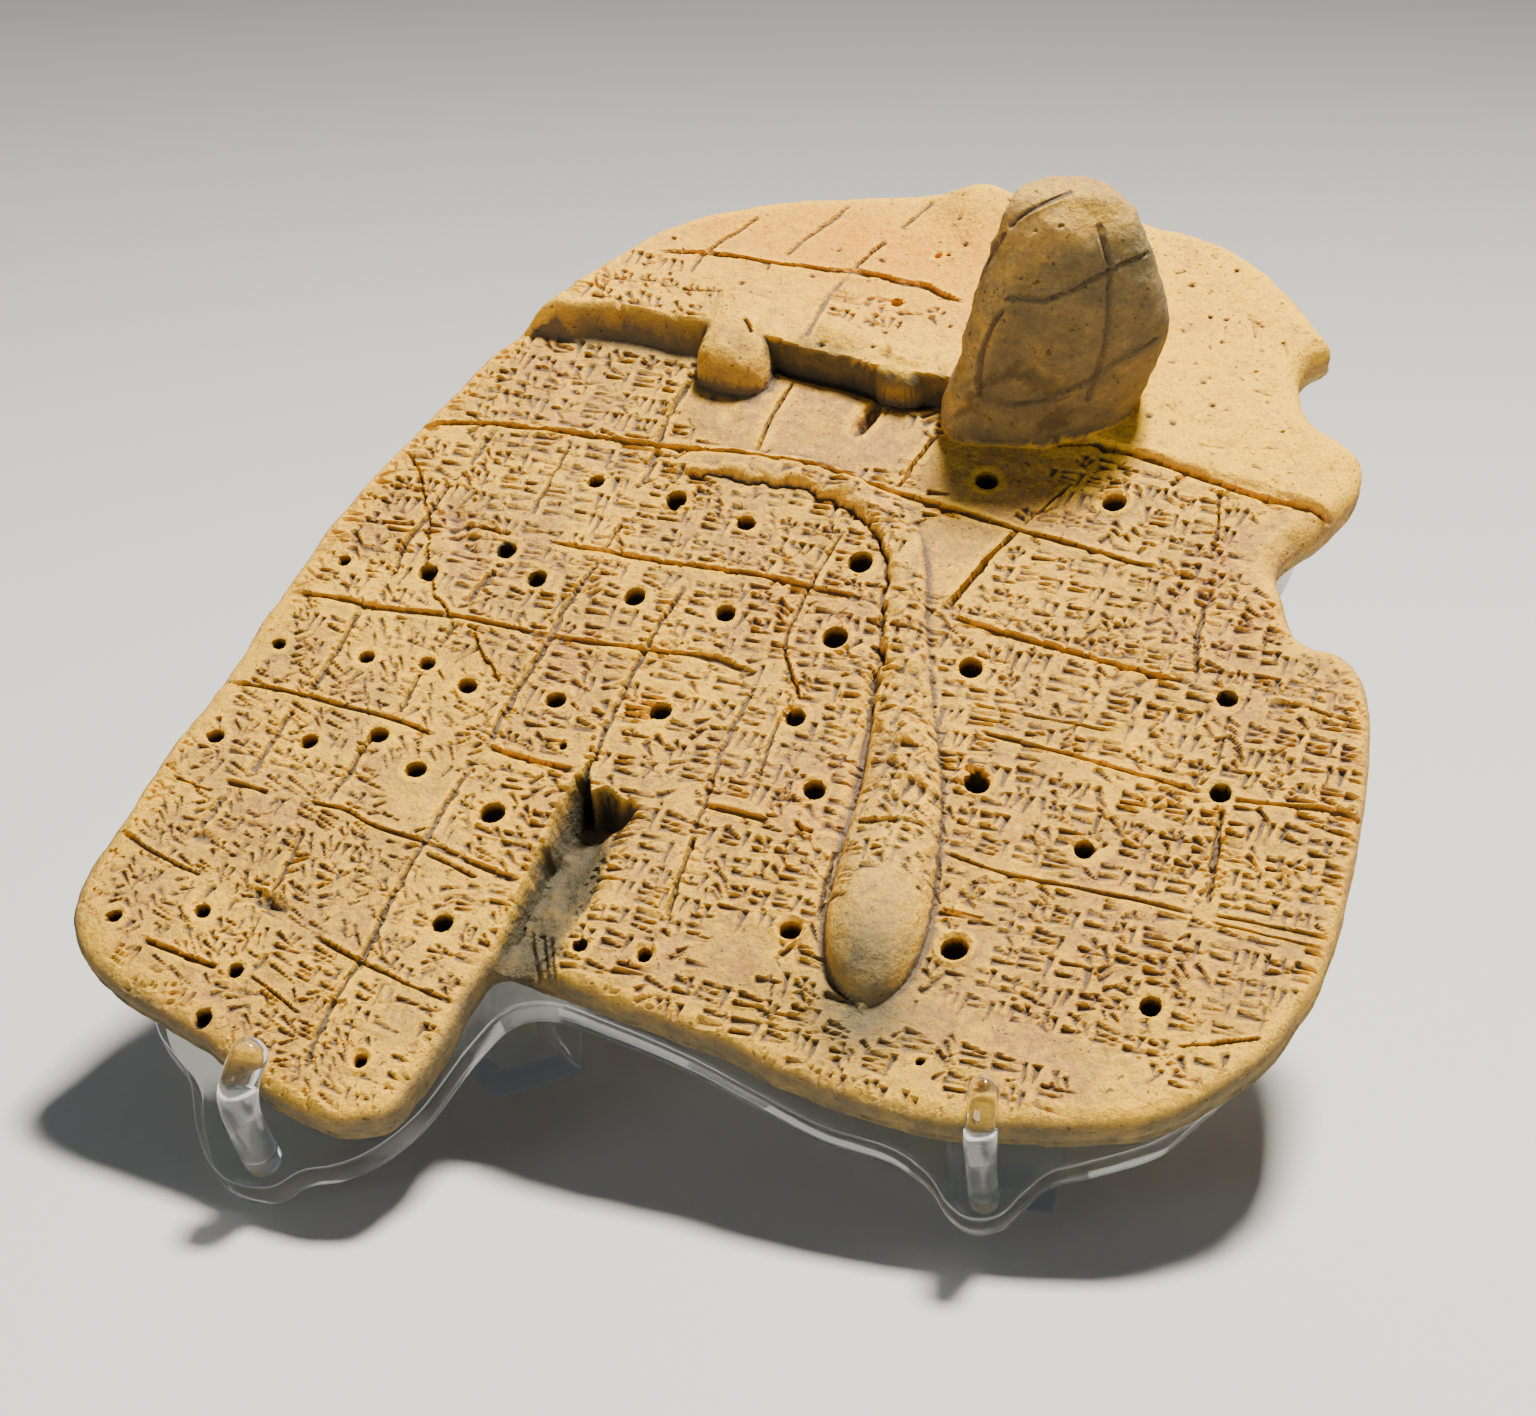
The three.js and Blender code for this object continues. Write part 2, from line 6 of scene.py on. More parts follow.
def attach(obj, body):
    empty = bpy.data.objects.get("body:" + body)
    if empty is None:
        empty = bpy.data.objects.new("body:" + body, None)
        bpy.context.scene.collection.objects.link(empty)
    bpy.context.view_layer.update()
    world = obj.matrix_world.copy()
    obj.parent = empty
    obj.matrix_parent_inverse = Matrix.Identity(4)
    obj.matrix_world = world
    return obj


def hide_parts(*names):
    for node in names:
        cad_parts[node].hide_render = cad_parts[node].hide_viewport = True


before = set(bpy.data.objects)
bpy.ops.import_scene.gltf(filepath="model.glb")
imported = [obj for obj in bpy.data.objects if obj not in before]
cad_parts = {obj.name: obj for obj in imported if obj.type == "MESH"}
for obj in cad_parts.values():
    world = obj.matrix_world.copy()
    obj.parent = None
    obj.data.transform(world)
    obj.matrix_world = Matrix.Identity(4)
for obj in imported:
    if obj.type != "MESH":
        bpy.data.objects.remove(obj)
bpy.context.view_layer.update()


# Clay body. One lump of pale clay patted into the outline of a liver, about 12 mm thick, with a
# flat face to write on, a convex back, and rounded edges that are worn and chipped.
# All its numbers are millimetres in the face frame: x along the rulings, y up the face, z out.
face_place = Vector((0.00654, -0.00437, 0.0541))
face_turn = Matrix.Rotation(np.radians(33.7), 4, "X") @ Matrix.Rotation(np.radians(-11.1), 4, "Z")
face_frame = Matrix.Translation(face_place) @ face_turn @ Matrix.Scale(0.001, 4)
rim_points = np.array([
    (12, 77), (23.5, 76.5), (33.5, 74.5), (42, 69.5), (47.5, 64.2), (50, 61.2), (48.3, 59.2),
    (47.2, 56), (50, 49.4), (54.2, 47), (57.6, 44.6), (58.2, 41), (56.4, 35), (52, 28.5),
    (51.4, 26.4), (53.4, 22), (56.6, 16.6), (62.1, 15.6), (65.4, 12), (67.9, 3.3), (69, -5),
    (69.8, -14.3), (69.7, -23.7), (68.4, -32), (65.7, -39.3), (60.7, -45.8), (56.3, -49.6),
    (49.1, -52.5), (36.4, -55.7), (27.3, -56.2), (17.8, -55.5), (7.8, -53.6), (-0.8, -52.5),
    (-13.8, -51.4), (-19.4, -51), (-20.6, -54), (-21, -60), (-22.4, -67.6), (-24.2, -72.6),
    (-29.2, -74.9), (-36.8, -73.8), (-48.8, -69.4), (-61.3, -66), (-67.2, -62.6),
    (-70.3, -58.6), (-71.1, -53), (-70.3, -46.7), (-69.5, -37), (-67.2, -23.3), (-65.7, -8.8),
    (-63.5, 5), (-60.4, 16), (-57.4, 25.3), (-54.2, 35), (-50.2, 40.5), (-45, 49.3),
    (-39.7, 57.6), (-33.3, 63.5), (-26, 67.4), (-14.6, 71.5), (-5.8, 74), (0, 75.4)])
grain = np.random.default_rng(7)


def smooth_step(t):
    """0 below 0, 1 above 1, and 3t^2 - 2t^3 between."""
    t = np.clip(t, 0, 1)
    return t * t * (3 - 2 * t)


def soft_noise(x, y, size, seed, octaves=2):
    """Value noise from -1 to 1: random values on a square grid of the given size, joined by a
    smooth step each way, with each further octave half as large and half as strong."""
    total = np.zeros_like(x)
    for octave in range(octaves):
        table = np.random.default_rng(seed + octave).uniform(-1, 1, (256, 256))
        u, v = x / size * 2 ** octave + 90.3, y / size * 2 ** octave + 77.7
        i, j = np.floor(u).astype(int), np.floor(v).astype(int)
        s, t = smooth_step(u - i), smooth_step(v - j)
        i, j = i % 255, j % 255
        low = table[j, i] * (1 - s) + table[j, i + 1] * s
        high = table[j + 1, i] * (1 - s) + table[j + 1, i + 1] * s
        total += (low * (1 - t) + high * t) * 0.5 ** octave
    return total


def closed_curve(points, spacing):
    """A closed centripetal Catmull-Rom curve through the points, at even spacing: between each
    two points it blends the parabolas through their neighbours, with knots at root distance."""
    before, after = np.roll(points, 1, 0), np.roll(points, -1, 0)
    beyond = np.roll(points, -2, 0)
    t = np.linspace(0, 1, 24, endpoint=False)[None, :, None]
    knot = np.linalg.norm(after - points, axis=1)[:, None, None] ** 0.5
    knot_before, knot_after = np.roll(knot, 1, 0), np.roll(knot, -1, 0)
    p0, p1, p2, p3 = (p[:, None, :] for p in (before, points, after, beyond))
    m1 = (p2 - p1) + knot * ((p1 - p0) / knot_before - (p2 - p0) / (knot_before + knot))
    m2 = (p2 - p1) + knot * ((p3 - p2) / knot_after - (p3 - p1) / (knot_after + knot))
    curve = ((2 * t**3 - 3 * t**2 + 1) * p1 + (t**3 - 2 * t**2 + t) * m1
             + (3 * t**2 - 2 * t**3) * p2 + (t**3 - t**2) * m2).reshape(-1, 2)
    closed = np.vstack([curve, curve[:1]])
    run = np.concatenate([[0], np.cumsum(np.linalg.norm(np.diff(closed, axis=0), axis=1))])
    at = np.linspace(0, run[-1], int(run[-1] / spacing), endpoint=False)
    return np.column_stack([np.interp(at, run, closed[:, k]) for k in (0, 1)])


def nearest_on(line, x, y, closed=False):
    """The nearest place on a row of points: its x and y, the distance, and the share of the
    way along; each point is dropped square onto every stretch and the shortest drop is kept."""
    start, end = (line, np.roll(line, -1, 0)) if closed else (line[:-1], line[1:])
    best = np.full(x.shape, 1e9)
    near_x, near_y, share = np.zeros_like(x), np.zeros_like(x), np.zeros_like(x)
    for k, (a, b) in enumerate(zip(start, end)):
        along = b - a
        t = np.clip(((x - a[0]) * along[0] + (y - a[1]) * along[1]) / (along @ along), 0, 1)
        px, py = a[0] + t * along[0], a[1] + t * along[1]
        gap = np.hypot(x - px, y - py)
        closer = gap < best
        best = np.where(closer, gap, best)
        near_x, near_y = np.where(closer, px, near_x), np.where(closer, py, near_y)
        share = np.where(closer, (k + t) / len(start), share)
    return near_x, near_y, best, share


def inside(line, x, y):
    """True within a closed line: a level ray to the right crosses it an odd number of times."""
    odd = np.zeros(x.shape, bool)
    for a, b in zip(line, np.roll(line, -1, 0)):
        crosses = (a[1] > y) != (b[1] > y)
        odd ^= crosses & (x < a[0] + (y - a[1]) * (b[0] - a[0]) / (b[1] - a[1] + 1e-12))
    return odd


def left_of(line):
    """For each place of a closed line, the arrow of length 1 to its left: the way from the place
    before it to the place after it, turned by a quarter."""
    run = np.roll(line, -1, 0) - np.roll(line, 1, 0)
    run /= np.linalg.norm(run, axis=1)[:, None]
    return np.column_stack([-run[:, 1], run[:, 0]])


# The face is laid out on a square grid; the grid's edge is drawn onto the outline, and the rows
# next to it are packed towards it, so that the rounded edge is as fine as the rest.
cell = 0.25
grid_x, grid_y = np.arange(-73.5, 72.5, cell), np.arange(-77.5, 79.5, cell)
X, Y = np.meshgrid(grid_x, grid_y)
rim = closed_curve(rim_points, 1.0)
rim_wear = 0.16 * soft_noise(*rim.T, 5.0, 3) + 0.1 * soft_noise(*rim.T, 1.6, 5)
rim = rim + rim_wear[:, None] * left_of(rim)


def depth_within(x, y):
    """Distance from the outline, counted positive inside it, with the nearest outline place."""
    near_x, near_y, gap, _ = nearest_on(rim, x, y, closed=True)
    return np.where(inside(rim, x, y), gap, -gap), near_x, near_y


def spread_up(values, every, shape):
    """Values on every few rows and columns, filled in between along straight lines."""
    rows, columns = np.arange(shape[0]) / every, np.arange(shape[1]) / every
    i = np.minimum(rows.astype(int), values.shape[0] - 2)[:, None]
    j = np.minimum(columns.astype(int), values.shape[1] - 2)[None, :]
    s, t = rows[:, None] - i, columns[None, :] - j
    return ((values[i, j] * (1 - s) + values[i + 1, j] * s) * (1 - t)
            + (values[i, j + 1] * (1 - s) + values[i + 1, j + 1] * s) * t)


every = 8
rough_x, rough_y = np.meshgrid(np.arange(grid_x[0], grid_x[-1] + every * cell * 2, every * cell),
                               np.arange(grid_y[0], grid_y[-1] + every * cell * 2, every * cell))
within = spread_up(depth_within(rough_x, rough_y)[0], every, X.shape)
near_rim = np.abs(within) < 8
fine, rim_x, rim_y = depth_within(X[near_rim], Y[near_rim])
within[near_rim] = fine
kept = within > -0.45 * cell
quads = kept[:-1, :-1] & kept[1:, :-1] & kept[:-1, 1:] & kept[1:, 1:]
corners = sum(np.pad(quads.astype(int), ((down, 1 - down), (right, 1 - right)))
              for down in (0, 1) for right in (0, 1))
border = (corners > 0) & (corners < 4)
edge_round = 2.4 + 1.8 * smooth_step((-X - 30) / 30) + 0.8 * soft_noise(X, Y, 14.0, 11)
phase = np.clip(within / edge_round, 0, 1) * np.pi / 2
phase[border] = 0
packed = np.where(border, 0, np.where(within < edge_round, edge_round * (1 - np.cos(phase)), within))
pull = np.zeros(X.shape)
pull[near_rim] = np.where(fine != 0, packed[near_rim] / np.where(fine == 0, 1, fine), 0)
X[near_rim] = rim_x + (X[near_rim] - rim_x) * pull[near_rim]
Y[near_rim] = rim_y + (Y[near_rim] - rim_y) * pull[near_rim]


# Peg holes poked into the face, each [x, y, diameter]; the last three are up on the terrace.
face_holes = [
    (14.2, 29.3, 3), (30.3, 29.8, 2.9), (-33.1, 16.6, 2.2), (-22.3, 16.6, 2.8), (-12.6, 15.3, 2.4),
    (3, 13.2, 3.2), (-40.1, 3.7, 2.5), (-34.7, 0.4, 2.6), (-21.9, 0.8, 2.7), (-10.4, 1.6, 2.6),
    (3.6, 1.7, 3.2), (20.6, 1.6, 3), (50.6, 5.5, 2.5), (-59.2, -3.4, 1.7), (-48.3, -2.2, 2.6),
    (53.1, -7.4, 2.6), (2.8, -10.7, 2.6), (-62, -17.2, 1.7), (-50.6, -16.2, 2),
    (-42.9, -15.2, 2.1), (-36.9, -16.9, 2.4), (-25.8, -15.9, 2.5), (-13, -14.2, 2.8),
    (8.2, -19.7, 2.8), (26, -13.8, 3.1), (40.3, -19, 2.5), (-63.6, -32, 2.1), (-52.2, -29.7, 2.2),
    (-44.5, -26.5, 2.4), (-38.2, -29.8, 2.5), (-27.1, -32.9, 3), (11.7, -38.4, 2.5),
    (30, -35.4, 3.1), (52.7, -36.5, 2.6), (-27, -48.3, 2.4), (-10.7, -46.6, 1.9),
    (-3.1, -45.9, 1.9), (-64.3, -58.2, 1.8), (-54.7, -54.6, 2), (-47.5, -60.8, 2),
    (-48.6, -67.3, 2.2), (-29, -67.4, 1.8), (-22.5, -21.9, 1.1), (30.6, -49.9, 1.1),
    (-4.4, 51.5, 1.6), (-1.9, 61.2, 1), (-0.6, 61.6, 0.6)]


def around_hole(hx, hy, diameter):
    """Every grid place's direction and distance from a hole's middle, and how far its mouth
    reaches in that direction: half the diameter, 5 % more or less twice round."""
    angle = np.arctan2(Y - hy, X - hx)
    return angle, np.hypot(X - hx, Y - hy), diameter / 2 * (1 + 0.05 * np.cos(2 * angle + hx))


fixed = within < 4.5
for hx, hy, diameter in face_holes:
    angle, reach, mouth = around_hole(hx, hy, diameter)
    on_mouth = np.abs(reach - mouth) < 0.5 * cell
    X[on_mouth] = hx + (mouth * np.cos(angle))[on_mouth]
    Y[on_mouth] = hy + (mouth * np.sin(angle))[on_mouth]
    fixed |= on_mouth


# Modelled forms on the face, all pressed up out of the one lump: the terrace along the top, the
# knob and lumps on its edge, the long duct that bends into the gall bladder, and the deep
# fissure between the two lower lobes. Readings taken from one eye point are marked "seen".
eye = np.array([91.33, -191.59, 290.34])


def as_seen(x, y, z):
    """Where a place shows on the z = 0 plane from the eye: the eye's ray carried down to it."""
    share = z / (eye[2] - z)
    return x + (x - eye[0]) * share, y + (y - eye[1]) * share


def soft_max(a, b, blend):
    """The higher of two heights, joined by a fillet: half of a + b + root((a - b)^2 + blend^2)."""
    return 0.5 * (a + b + np.sqrt((a - b) ** 2 + blend ** 2))


def flowing(points, count):
    """An open Catmull-Rom curve through rows of numbers, at even shares of the row count."""
    points = np.asarray(points, float)
    padded = np.vstack([2 * points[0] - points[1], points, 2 * points[-1] - points[-2]])
    at = np.linspace(0, len(points) - 1, count)
    k = np.minimum(at.astype(int), len(points) - 2)
    t = (at - k)[:, None]
    p0, p1, p2, p3 = (padded[k + n] for n in range(4))
    return 0.5 * (2 * p1 + (p2 - p0) * t + (2 * p0 - 5 * p1 + 4 * p2 - p3) * t**2
                  + (3 * p1 - p0 - 3 * p2 + p3) * t**3)


def swell(centre, radii, turn):
    """An egg-shaped swelling's upper side: centre height plus radius times root(1 - q^2), where
    q is the distance from the middle counted in the two radii; far below the face outside it."""
    c, s = np.cos(np.radians(turn)), np.sin(np.radians(turn))
    u = ((X - centre[0]) * c + (Y - centre[1]) * s) / radii[0]
    v = ((Y - centre[1]) * c - (X - centre[0]) * s) / radii[1]
    q = u * u + v * v
    return np.where(q < 1, centre[2] + radii[2] * np.sqrt(np.clip(1 - q, 0, 1)), -9.0)


def spot(x, y, middle, reach):
    """A soft spot, 1 in its middle and fading outwards: e to the power of -(u^2 + v^2), u and v
    being the distances from the middle counted in its two reaches."""
    return np.exp(-((x - middle[0]) / reach[0]) ** 2 - ((y - middle[1]) / reach[1]) ** 2)


Z = 0.22 * soft_noise(X, Y, 19.0, 21) + 0.1 * soft_noise(X, Y, 5.5, 23)
step_places = np.array([
    (-75, 35.5), (-51.5, 36.9), (-45.5, 37.7), (-38, 39.1), (-29.9, 39.1), (-18.5, 40.1),
    (-13.6, 39.8), (-5.7, 39.1), (-0.2, 38.6), (6, 39.6), (90, 60)])
step_line = np.interp(X, step_places[:, 0], step_places[:, 1]) + 0.25 * soft_noise(X, Y, 3.0, 31)
step_width = 2.6 - 1.7 * smooth_step((X + 27) / 8)
terrace_top = 5 - 0.1 * np.clip(Y - 39, 0, 60) + 0.25 * soft_noise(X, Y, 8.0, 33)
terrace_side = 1 - smooth_step((X - 9 - 0.12 * (Y - 39)) / 5)
on_terrace = smooth_step((Y - step_line) / step_width) * terrace_side
step_foot = np.exp(-((Y - step_line + 0.1) / 0.55) ** 2)
step_foot = step_foot * smooth_step((X + 24) / 6) * smooth_step((5 - X) / 2)
plain_line = 38.2 - 0.107 * (X - 25.6)
on_plain = smooth_step((Y - plain_line) / 0.9) * smooth_step((X - 9) / 4)
Z = Z + (terrace_top - Z) * on_terrace + 0.8 * on_plain * (1 - on_terrace) - 1.1 * step_foot
knob_side = np.clip(np.abs(X + 22.4 + 0.1 * (Y - 40) + 0.35 * soft_noise(X, Y, 3.0, 36)) / 5.0, 0, 1)
knob_end = np.clip((37.8 - Y) / 3.4, 0, 1)
knob = 7.6 * np.clip(1 - knob_side ** 2.8 - knob_end ** 2.8, 0, 1) ** 0.36 - 1.4
knob = knob + 0.45 * soft_noise(X, Y, 3.2, 37)
at_knob = (knob_side < 1) & (Y > 34.4) & (Y < 47)
Z = soft_max(Z, np.where(at_knob, knob - 0.12 * np.clip(Y - 41, 0, 9), -9), 0.5)
Z = soft_max(Z, swell((-0.4, 41.6, 2.2), (4.2, 3.8, 3.2), 0) + 1.1 * soft_noise(X, Y, 2.0, 39), 0.5)
Z = soft_max(Z, swell((-9, 44, 2.4), (4.5, 3, 3.3), 0) + 0.3 * soft_noise(X, Y, 3.2, 40), 0.5)
Z += 3.4 * spot(X, Y, (0.8, 71), (4.6, 6.5))

# Duct and gall bladder: [x, y, half width on the inner side, on the outer side, height]
duct_places = [
    (-24.5, 21, 0.5, 1.6, 0.2), (-20.7, 21.9, 0.9, 3.2, 0.9), (-14.7, 22.6, 1.2, 3.6, 1.4),
    (-7.7, 23.2, 1.2, 3.4, 1.6), (-1, 21.8, 1.2, 3.6, 1.7), (4.6, 18.4, 1.3, 3.8, 1.7),
    (8.5, 12.5, 1.5, 3, 1.7), (10.6, 6, 2.3, 3, 2), (13, -1, 2.7, 3.2, 2.4), (15.6, -9.5, 3.7, 4, 2.9),
    (17.8, -17, 4.6, 4.8, 3.5), (18.9, -23, 5.2, 5.4, 4.5), (20.0, -30, 5.7, 5.8, 5.4),
    (20.8, -35, 5.8, 5.8, 5.6), (21.5, -39, 5.2, 5.2, 5.2), (22, -42, 4, 4, 4),
    (22.3, -44, 2.4, 2.4, 2.4), (22.4, -45, 0.8, 0.8, 0.6)]
duct = flowing(duct_places, 70)
about = (X > -29) & (X < 32) & (Y > -50) & (Y < 30)
near_x, near_y, off_duct, share = nearest_on(duct[:, :2], X[about], Y[about])
along = np.gradient(duct[:, :2], axis=0)
at = share * (len(duct) - 1)
run_x, run_y = (np.interp(at, np.arange(len(duct)), along[:, k]) for k in (0, 1))
inner = (run_x * (Y[about] - near_y) - run_y * (X[about] - near_x)) < 0
inner_width, outer_width, crest = (np.interp(at, np.arange(len(duct)), duct[:, k]) for k in (2, 3, 4))
ragged = 1 + 0.3 * smooth_step((Y[about] + 12) / 12) * soft_noise(X[about], Y[about], 1.5, 46)
across = off_duct / np.where(inner, inner_width * ragged, outer_width)
worn = smooth_step((Y[about] + 24) / 8)
crest = crest * (1 + (0.03 + 0.26 * worn) * soft_noise(X[about], Y[about], 1.7, 45))
ridge = np.where(across < 1, crest * np.sqrt(np.clip(1 - across ** 2, 0, 1)), -0.6 * (across - 1))
Z[about] = soft_max(Z[about], ridge + 0.05, 0.35)
duct_foot = np.exp(-((across - 1.12) / 0.16) ** 2) * (off_duct < 9)
duct_foot = duct_foot * np.where(inner, 0.6 + 0.8 * worn, 0.15)
Z[about] -= duct_foot * np.clip(crest / 2, 0, 1)

# Fissure: steep wall of the left lobe, overhung top lip, floor that climbs to the right lobe
wall_places = np.array([
    (-80, -24), (-54, -20.4), (-50.9, -20.3), (-43, -20.2), (-37, -20.1), (-30, -19.9),
    (-27, -19.4), (-24, -18.8)])
wall_x = np.interp(Y, wall_places[:, 0], wall_places[:, 1]) + 0.4 * soft_noise(X, Y, 3.5, 51)
lip_places = np.array([
    (-20, -25.6), (-18.6, -24.2), (-17, -25.6), (-15, -26.1), (-13, -26.9), (-12, -26.6),
    (-10.8, -27), (-8, -28.5), (-5, -32)])
lip_y = np.interp(X, lip_places[:, 0], lip_places[:, 1])
lip_y = lip_y + 0.7 * soft_noise(X, Y, 3.0, 55) - 1.2 * np.exp(-((X + 17) / 0.8) ** 2)
# each is [y, depth of the floor, x where the bank starts, width of the bank]
bank_rows = np.array([
    (-56, 2.6, -19.4, 11), (-50, 3.3, -19.2, 10), (-44, 4.2, -18.9, 9.2), (-38, 5.3, -18.4, 8),
    (-32, 6.4, -17, 6.6), (-26, 7.2, -14.6, 4.6)])
floor_depth, bank_x, bank_wide = (np.interp(Y, bank_rows[:, 0], bank_rows[:, k]) for k in (1, 2, 3))
climb = smooth_step((X - bank_x + 0.8 * soft_noise(X, Y, 3.0, 59)) / bank_wide)
fissure = smooth_step((X - wall_x + 0.3) / 1.4) * smooth_step((lip_y + 0.3 - Y) / 1.5) * (X > -24) * (X < 0)
Z -= floor_depth * (1 - climb) * fissure * (1 + 0.1 * soft_noise(X, Y, 2.0, 53))

# Worn clay: dents and pits, and the broken edge in the second notch on the right, each
# [x, y, turn in degrees, length, width, depth]
dents = [
    (-46.6, 4.7, -52, 4.2, 1.5, 0.9), (-3.3, 35.1, 76, 2.9, 0.95, 2.4),
    (-46.8, -51.6, -20, 1.8, 1.1, 0.9), (44.5, 18.5, -75, 2.2, 1.1, 0.8),
    (57.3, 6.4, 8, 1.9, 0.5, 0.8), (-58.8, -45.6, 20, 1.3, 0.9, 0.7), (54, 28.5, 60, 5.5, 3, 1.6),
    (55.5, 40.5, 60, 4, 2, 0.5), (11.5, 35.6, 40, 1.6, 1, 0.5), (-49.4, -51, -8, 2.2, 1.1, 0.8),
    (27.1, 37.8, 30, 0.8, 0.6, 0.9)]
for px, py, turn, length, width, depth in dents:
    c, s = np.cos(np.radians(turn)), np.sin(np.radians(turn))
    u, v = ((X - px) * c + (Y - py) * s) / length, ((Y - py) * c - (X - px) * s) / width
    Z -= depth * np.exp(-(u * u + v * v) ** 2) * (1 + 0.3 * soft_noise(X, Y, 1.2, 57))


# Ruled lines, drawn with a stylus edge into the wet clay: a furrow with a low burr on each side,
# each [width, depth, places]
level_lines = [
    (0.9, 0.9, [(-60.5, 19.8), (-57.6, 20.1), (-49.8, 21.9), (-39.6, 23), (-28.3, 24), (-15.4, 25.1),
                (-6.9, 25.2), (4.5, 24.3), (20, 22.8), (42.1, 21.1)]),
    (1.0, 1.2, [(25.6, 38.2), (33, 37.3), (40, 36.2), (47, 35.2), (57.5, 34.7)]),
    (0.8, 0.7, [(-57.4, 3.5), (-53, 4.3)]), (0.8, 0.6, [(-44.9, 6.2), (-40.6, 6.1)]),
    (0.85, 0.85, [(-35.4, 6), (-28, 6.4), (-20.7, 6.7), (-13, 7.6), (-7.2, 8.1), (6.6, 7.8)]),
    (0.9, 0.8, [(-65.2, -9.8), (-56.7, -9), (-53.5, -9.1), (-47, -8.4), (-40, -7.5), (-29.9, -7.5),
                (-17.8, -6.2), (-10, -5.4), (-3.9, -6.1)]),
    (0.85, 0.7, [(-66.8, -24.2), (-58.1, -23.7), (-49.8, -23.9), (-43.3, -23.9), (-38, -24.7)]),
    (1.0, 1.0, [(-31, -24.4), (-26, -24.8), (-20.2, -24.8)]),
    (0.9, 0.7, [(-59.7, -37.7), (-54, -37.7)]), (0.5, 0.4, [(-66, -38.8), (-60.5, -39.4)]),
    (0.75, 0.65, [(-49.5, -37.6), (-44, -37.4), (-40, -38.5), (-33, -39), (-25, -40.2), (-20.5, -40.7)]),
    (0.6, 0.5, [(-32.6, -40.4), (-29, -41), (-25.5, -41.7)]),
    (0.65, 0.6, [(-69.6, -47), (-65, -48.8), (-60, -49.9), (-57, -50.3)]),
    (0.65, 0.6, [(-40.8, -54), (-35, -55.5), (-31, -56.2), (-27, -57), (-21.5, -57.6)]),
    (0.9, 0.9, [(-59.8, -60.1), (-54, -60.7), (-49.8, -61)]),
    (0.6, 0.6, [(-45.8, -60.9), (-42, -62.3), (-38, -64)]),
    (0.9, 0.8, [(-3.1, -25.1), (0.5, -25.2), (4.5, -25.3)]),
    (0.8, 1.1, [(7.3, -24.4), (8.6, -25.2), (10, -25.3)]),
    (1.0, 1.0, [(16, 8.2), (22, 7.6), (28, 7.2), (33.8, 6.9), (39, 6.6), (45.2, 6.5)]),
    (0.6, 0.5, [(59.3, 6.6), (62.5, 6.3), (66.2, 6)]), (0.5, 0.35, [(22, -3.4), (30, -3.1), (39, -2.7)]),
    (0.75, 0.8, [(24.5, -6.9), (32, -7.1), (39, -7.4), (51.4, -7.9)]),
    (0.85, 0.9, [(54.4, -7.9), (60, -7.2), (66, -6.4), (69.5, -6.6)]),
    (0.5, 0.5, [(63, -8.8), (69.4, -9.3)]),
    (0.65, 0.6, [(25.4, -23.8), (31.8, -24.5), (43, -24), (53.9, -23.8)]),
    (0.45, 0.4, [(56.3, -23.4), (63, -23), (69.6, -22.8)]), (0.35, 0.35, [(56.3, -24.3), (69.4, -24.2)]),
    (0.5, 0.45, [(56.8, -40.4), (61, -38.8), (65.2, -36.9)]), (0.4, 0.3, [(26.9, -30.8), (32, -30.7)]),
]
